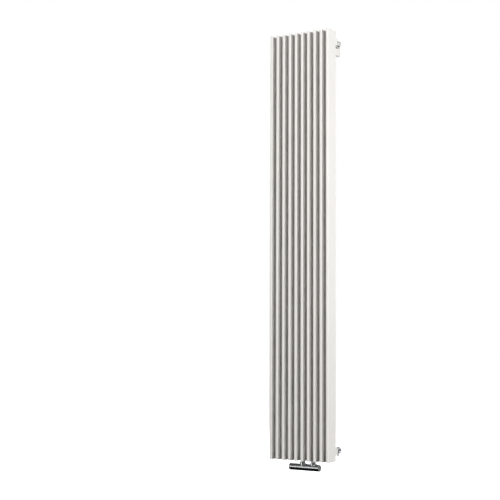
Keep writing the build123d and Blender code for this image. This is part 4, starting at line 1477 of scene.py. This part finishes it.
@dataclass
class Studio:
    """Pale floor, white surroundings, soft lamps, grey cards for the chrome, and the camera.

    Lengths are in metres and angles in degrees.

    Attributes:
        eye: the camera's place, found from the radiator's corners in the photograph.
        azimuth: how far the camera stands round to the right.
        elevation: how far it looks up.
        roll: how far it leans.
        lens: its focal length in millimetres.
        dome: strength of the soft light from all round.
        floor_z: height of the floor.
        floor_size: width of the floor.
        floor_lift: light added to the floor where it is seen, under the radiator.
        floor_fade: distances between which that light grows to white.
        floor_card: height of the lying card above the floor.
        card_foot: height of the standing cards' feet above the floor.
        card_top: height of the upper edge of most of them.
        card_reach: their distance.
    """

    eye: Corner = (2.45, -4.41108, -0.35493)
    azimuth: float = 32.1376
    elevation: float = 3.827
    roll: float = 0.2359
    lens: float = 84.94
    dome: float = 0.04
    floor_z: float = -1.12
    floor_size: float = 40.0
    floor_lift: float = 0.85
    floor_fade: Pair = (1.2, 3.6)
    floor_card: float = 0.003
    card_foot: float = 0.004
    card_top: float = -0.35
    card_reach: float = 1.4

    def seen(self, tree: bpy.types.NodeTree) -> bpy.types.NodeSocket:
        """Tells rays that show a surface from rays that only light one.

        Args:
            tree: the node tree that asks.

        Returns:
            A socket that is 1 for camera and mirror rays.
        """
        path = add_node(tree, "ShaderNodeLightPath")
        rays = {0: path.outputs["Is Camera Ray"], 1: path.outputs["Is Glossy Ray"]}
        return add_node(tree, "ShaderNodeMath", rays, operation="MAXIMUM").outputs[0]

    def surroundings(self) -> None:
        """Makes surroundings that look white and give a little light."""
        world = bpy.data.worlds.new("white_studio")
        bpy.context.scene.world = world
        world.use_nodes = True
        tree = world.node_tree
        strength = add_node(tree, "ShaderNodeMix", {0: self.seen(tree), 2: self.dome, 3: 1.0})
        back = tree.nodes["Background"]
        back.inputs["Color"].default_value = linear("#FFFFFF")
        tree.links.new(strength.outputs[0], back.inputs["Strength"])

    def prop(
        self, name: str, corners: Sequence[Sequence[float]]
    ) -> tuple[bpy.types.Object, bpy.types.Material]:
        """Makes a flat board of the studio.

        Args:
            name: its name.
            corners: its corners.

        Returns:
            The board and its matt material.
        """
        mesh = bpy.data.meshes.new(name)
        mesh.from_pydata(corners, [], [tuple(range(len(corners)))])
        board = bpy.data.objects.new(name, mesh)
        bpy.context.scene.collection.objects.link(board)
        material = bpy.data.materials.new(f"{name}_board")
        material.use_nodes = True
        shader = material.node_tree.nodes["Principled BSDF"]
        shader.inputs["Roughness"].default_value = 1.0
        shader.inputs["Specular IOR Level"].default_value = 0.0
        mesh.materials.append(material)
        return board, material

    def floor(self) -> None:
        """Lays the floor: pale with the radiator's shadow where it is seen, and dull to the light."""
        half = self.floor_size / 2
        corners = [(-half, -half), (half, -half), (half, half), (-half, half)]
        _, material = self.prop("studio_floor", [(x, y, self.floor_z) for x, y in corners])
        tree = material.node_tree
        shader = tree.nodes["Principled BSDF"]
        seen = self.seen(tree)
        tones = {0: seen, 6: linear("#2C2C2C"), 7: linear("#F4F4F4")}
        tone = add_node(tree, "ShaderNodeMix", tones, data_type="RGBA")
        place = add_node(tree, "ShaderNodeTexCoord").outputs["Object"]
        flat = add_node(tree, "ShaderNodeVectorMath", {0: place, 1: (1, 1, 0)}, operation="MULTIPLY")
        away = add_node(tree, "ShaderNodeVectorMath", {0: flat.outputs[0]}, operation="LENGTH")
        fade = dict(zip(("From Min", "From Max"), self.floor_fade))
        lights = {"Value": away.outputs["Value"], **fade, "To Min": self.floor_lift, "To Max": 1.0}
        white = add_node(tree, "ShaderNodeMapRange", lights)
        lift = add_node(tree, "ShaderNodeMath", {0: seen, 1: white.outputs[0]}, operation="MULTIPLY")
        shader.inputs["Emission Color"].default_value = linear("#FFFFFF")
        tree.links.new(tone.outputs[2], shader.inputs["Base Color"])
        tree.links.new(lift.outputs[0], shader.inputs["Emission Strength"])

    def lamp(self, name: str, place: Corner, aim: Corner, size: Pair, power: float) -> None:
        """Hangs a soft lamp.

        Args:
            name: its name.
            place: where it hangs.
            aim: the point that it faces.
            size: its width and height.
            power: its power in watts.
        """
        light = bpy.data.lights.new(name, "AREA")
        light.shape = "RECTANGLE"
        light.size, light.size_y = size
        light.energy = power
        lamp = bpy.data.objects.new(name, light)
        lamp.location = place
        lamp.rotation_euler = (Vector(aim) - Vector(place)).to_track_quat("-Z", "Y").to_euler()
        lamp.visible_camera = False
        bpy.context.scene.collection.objects.link(lamp)

    def card(self, name: str, corners: Sequence[Sequence[float]], tone: str) -> None:
        """Sets up a card that only polished metal sees.

        Args:
            name: its name.
            corners: its corners.
            tone: the colour that the metal sees.
        """
        card, material = self.prop(name, corners)
        shader = material.node_tree.nodes["Principled BSDF"]
        shader.inputs["Base Color"].default_value = linear("#000000")
        shader.inputs["Emission Color"].default_value = linear(tone)
        shader.inputs["Emission Strength"].default_value = 1.0
        card.visible_camera = False
        card.visible_diffuse = False
        card.visible_transmission = False
        card.visible_shadow = False

    def screen(
        self, name: str, way: Pair, tone: str, foot: float | None = None, top: float | None = None
    ) -> None:
        """Stands a card part of the way round the radiator.

        Args:
            name: its name.
            way: directions of its two edges, from the room towards the right.
            tone: the colour that the metal sees.
            foot: height of its lower edge, where it isn't the usual one.
            top: height of its upper edge, where it isn't the usual one.
        """
        low = self.floor_z + self.card_foot if foot is None else foot
        high = self.card_top if top is None else top
        turns = [math.radians(a) for a in way]
        near, far = ((self.card_reach * math.sin(a), -self.card_reach * math.cos(a)) for a in turns)
        self.card(name, [(*near, low), (*far, low), (*far, high), (*near, high)], tone)

    def camera(self) -> None:
        """Sets the camera at the photograph's place."""
        data = bpy.data.cameras.new("studio_camera")
        data.lens = self.lens
        data.sensor_width = 36.0
        data.clip_end = 100.0
        camera = bpy.data.objects.new("studio_camera", data)
        turns = ((self.azimuth, "Z"), (90 + self.elevation, "X"), (self.roll, "Z"))
        azimuth, tilt, roll = (Matrix.Rotation(math.radians(angle), 4, axis) for angle, axis in turns)
        camera.matrix_world = Matrix.Translation(self.eye) @ azimuth @ tilt @ roll
        bpy.context.scene.collection.objects.link(camera)
        bpy.context.scene.camera = camera

    def build(self) -> None:
        """Sets the whole studio."""
        bpy.context.scene.view_settings.view_transform = "Standard"
        self.camera()
        self.surroundings()
        self.floor()
        self.lamp("front_lamp", place=(0, -4.5, 0.4), aim=(0, -0.1, 0), size=(0.8, 1.8), power=82.0)
        self.lamp("top_lamp", place=(0, -1.6, 3.2), aim=(0, -0.1, 0.3), size=(1.6, 1.6), power=42.0)
        self.lamp("key_lamp", place=(3.2, -2.7, 0.25), aim=(0, -0.1, 0), size=(0.8, 1.8), power=71.0)
        self.lamp("side_lamp", place=(3.6, -0.45, 0.65), aim=(0.14, -0.1, 0), size=(2.8, 2.4), power=113.0)
        self.lamp("fill_lamp", place=(-2.8, 1.95, 1.2), aim=(-0.1, -0.05, 0), size=(2.4, 2.4), power=95.0)
        ends = [(-2.6, -1.3), (0.9, -1.3), (0.9, 0.5), (-2.6, 0.5)]
        self.card("floor_card", [(x, y, self.floor_z + self.floor_card) for x, y in ends], "#1E1E1F")
        self.screen("left_card", way=(-110.0, -48.0), tone="#5E5E60")
        self.screen("front_card", way=(-18.0, 42.0), tone="#505052")
        self.screen("right_card", way=(42.0, 108.0), tone="#7A7A7C")
        self.screen("rear_card", way=(108.0, 175.0), tone="#8C8C8E")
        self.screen("corner_card", way=(158.0, 178.0), tone="#3C3C3E", foot=-0.1, top=1.6)
        self.screen("wall_card", way=(-182.0, -110.0), tone="#303032", top=1.1)


def main() -> None:
    """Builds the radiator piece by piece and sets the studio."""
    logging.basicConfig(level=logging.INFO, format="%(name)s: %(message)s")
    dress_carried_nodes()
    for assembly in (
        HeatingCore(),
        WallBrackets(),
        AirVent(),
        ValveBlock(),
        Connections(),
        ReturnSpring(),
        ThermostatHead(),
        ReturnCap(),
    ):
        assembly.build()
    Studio().build()


if __name__ == "__main__":
    main()
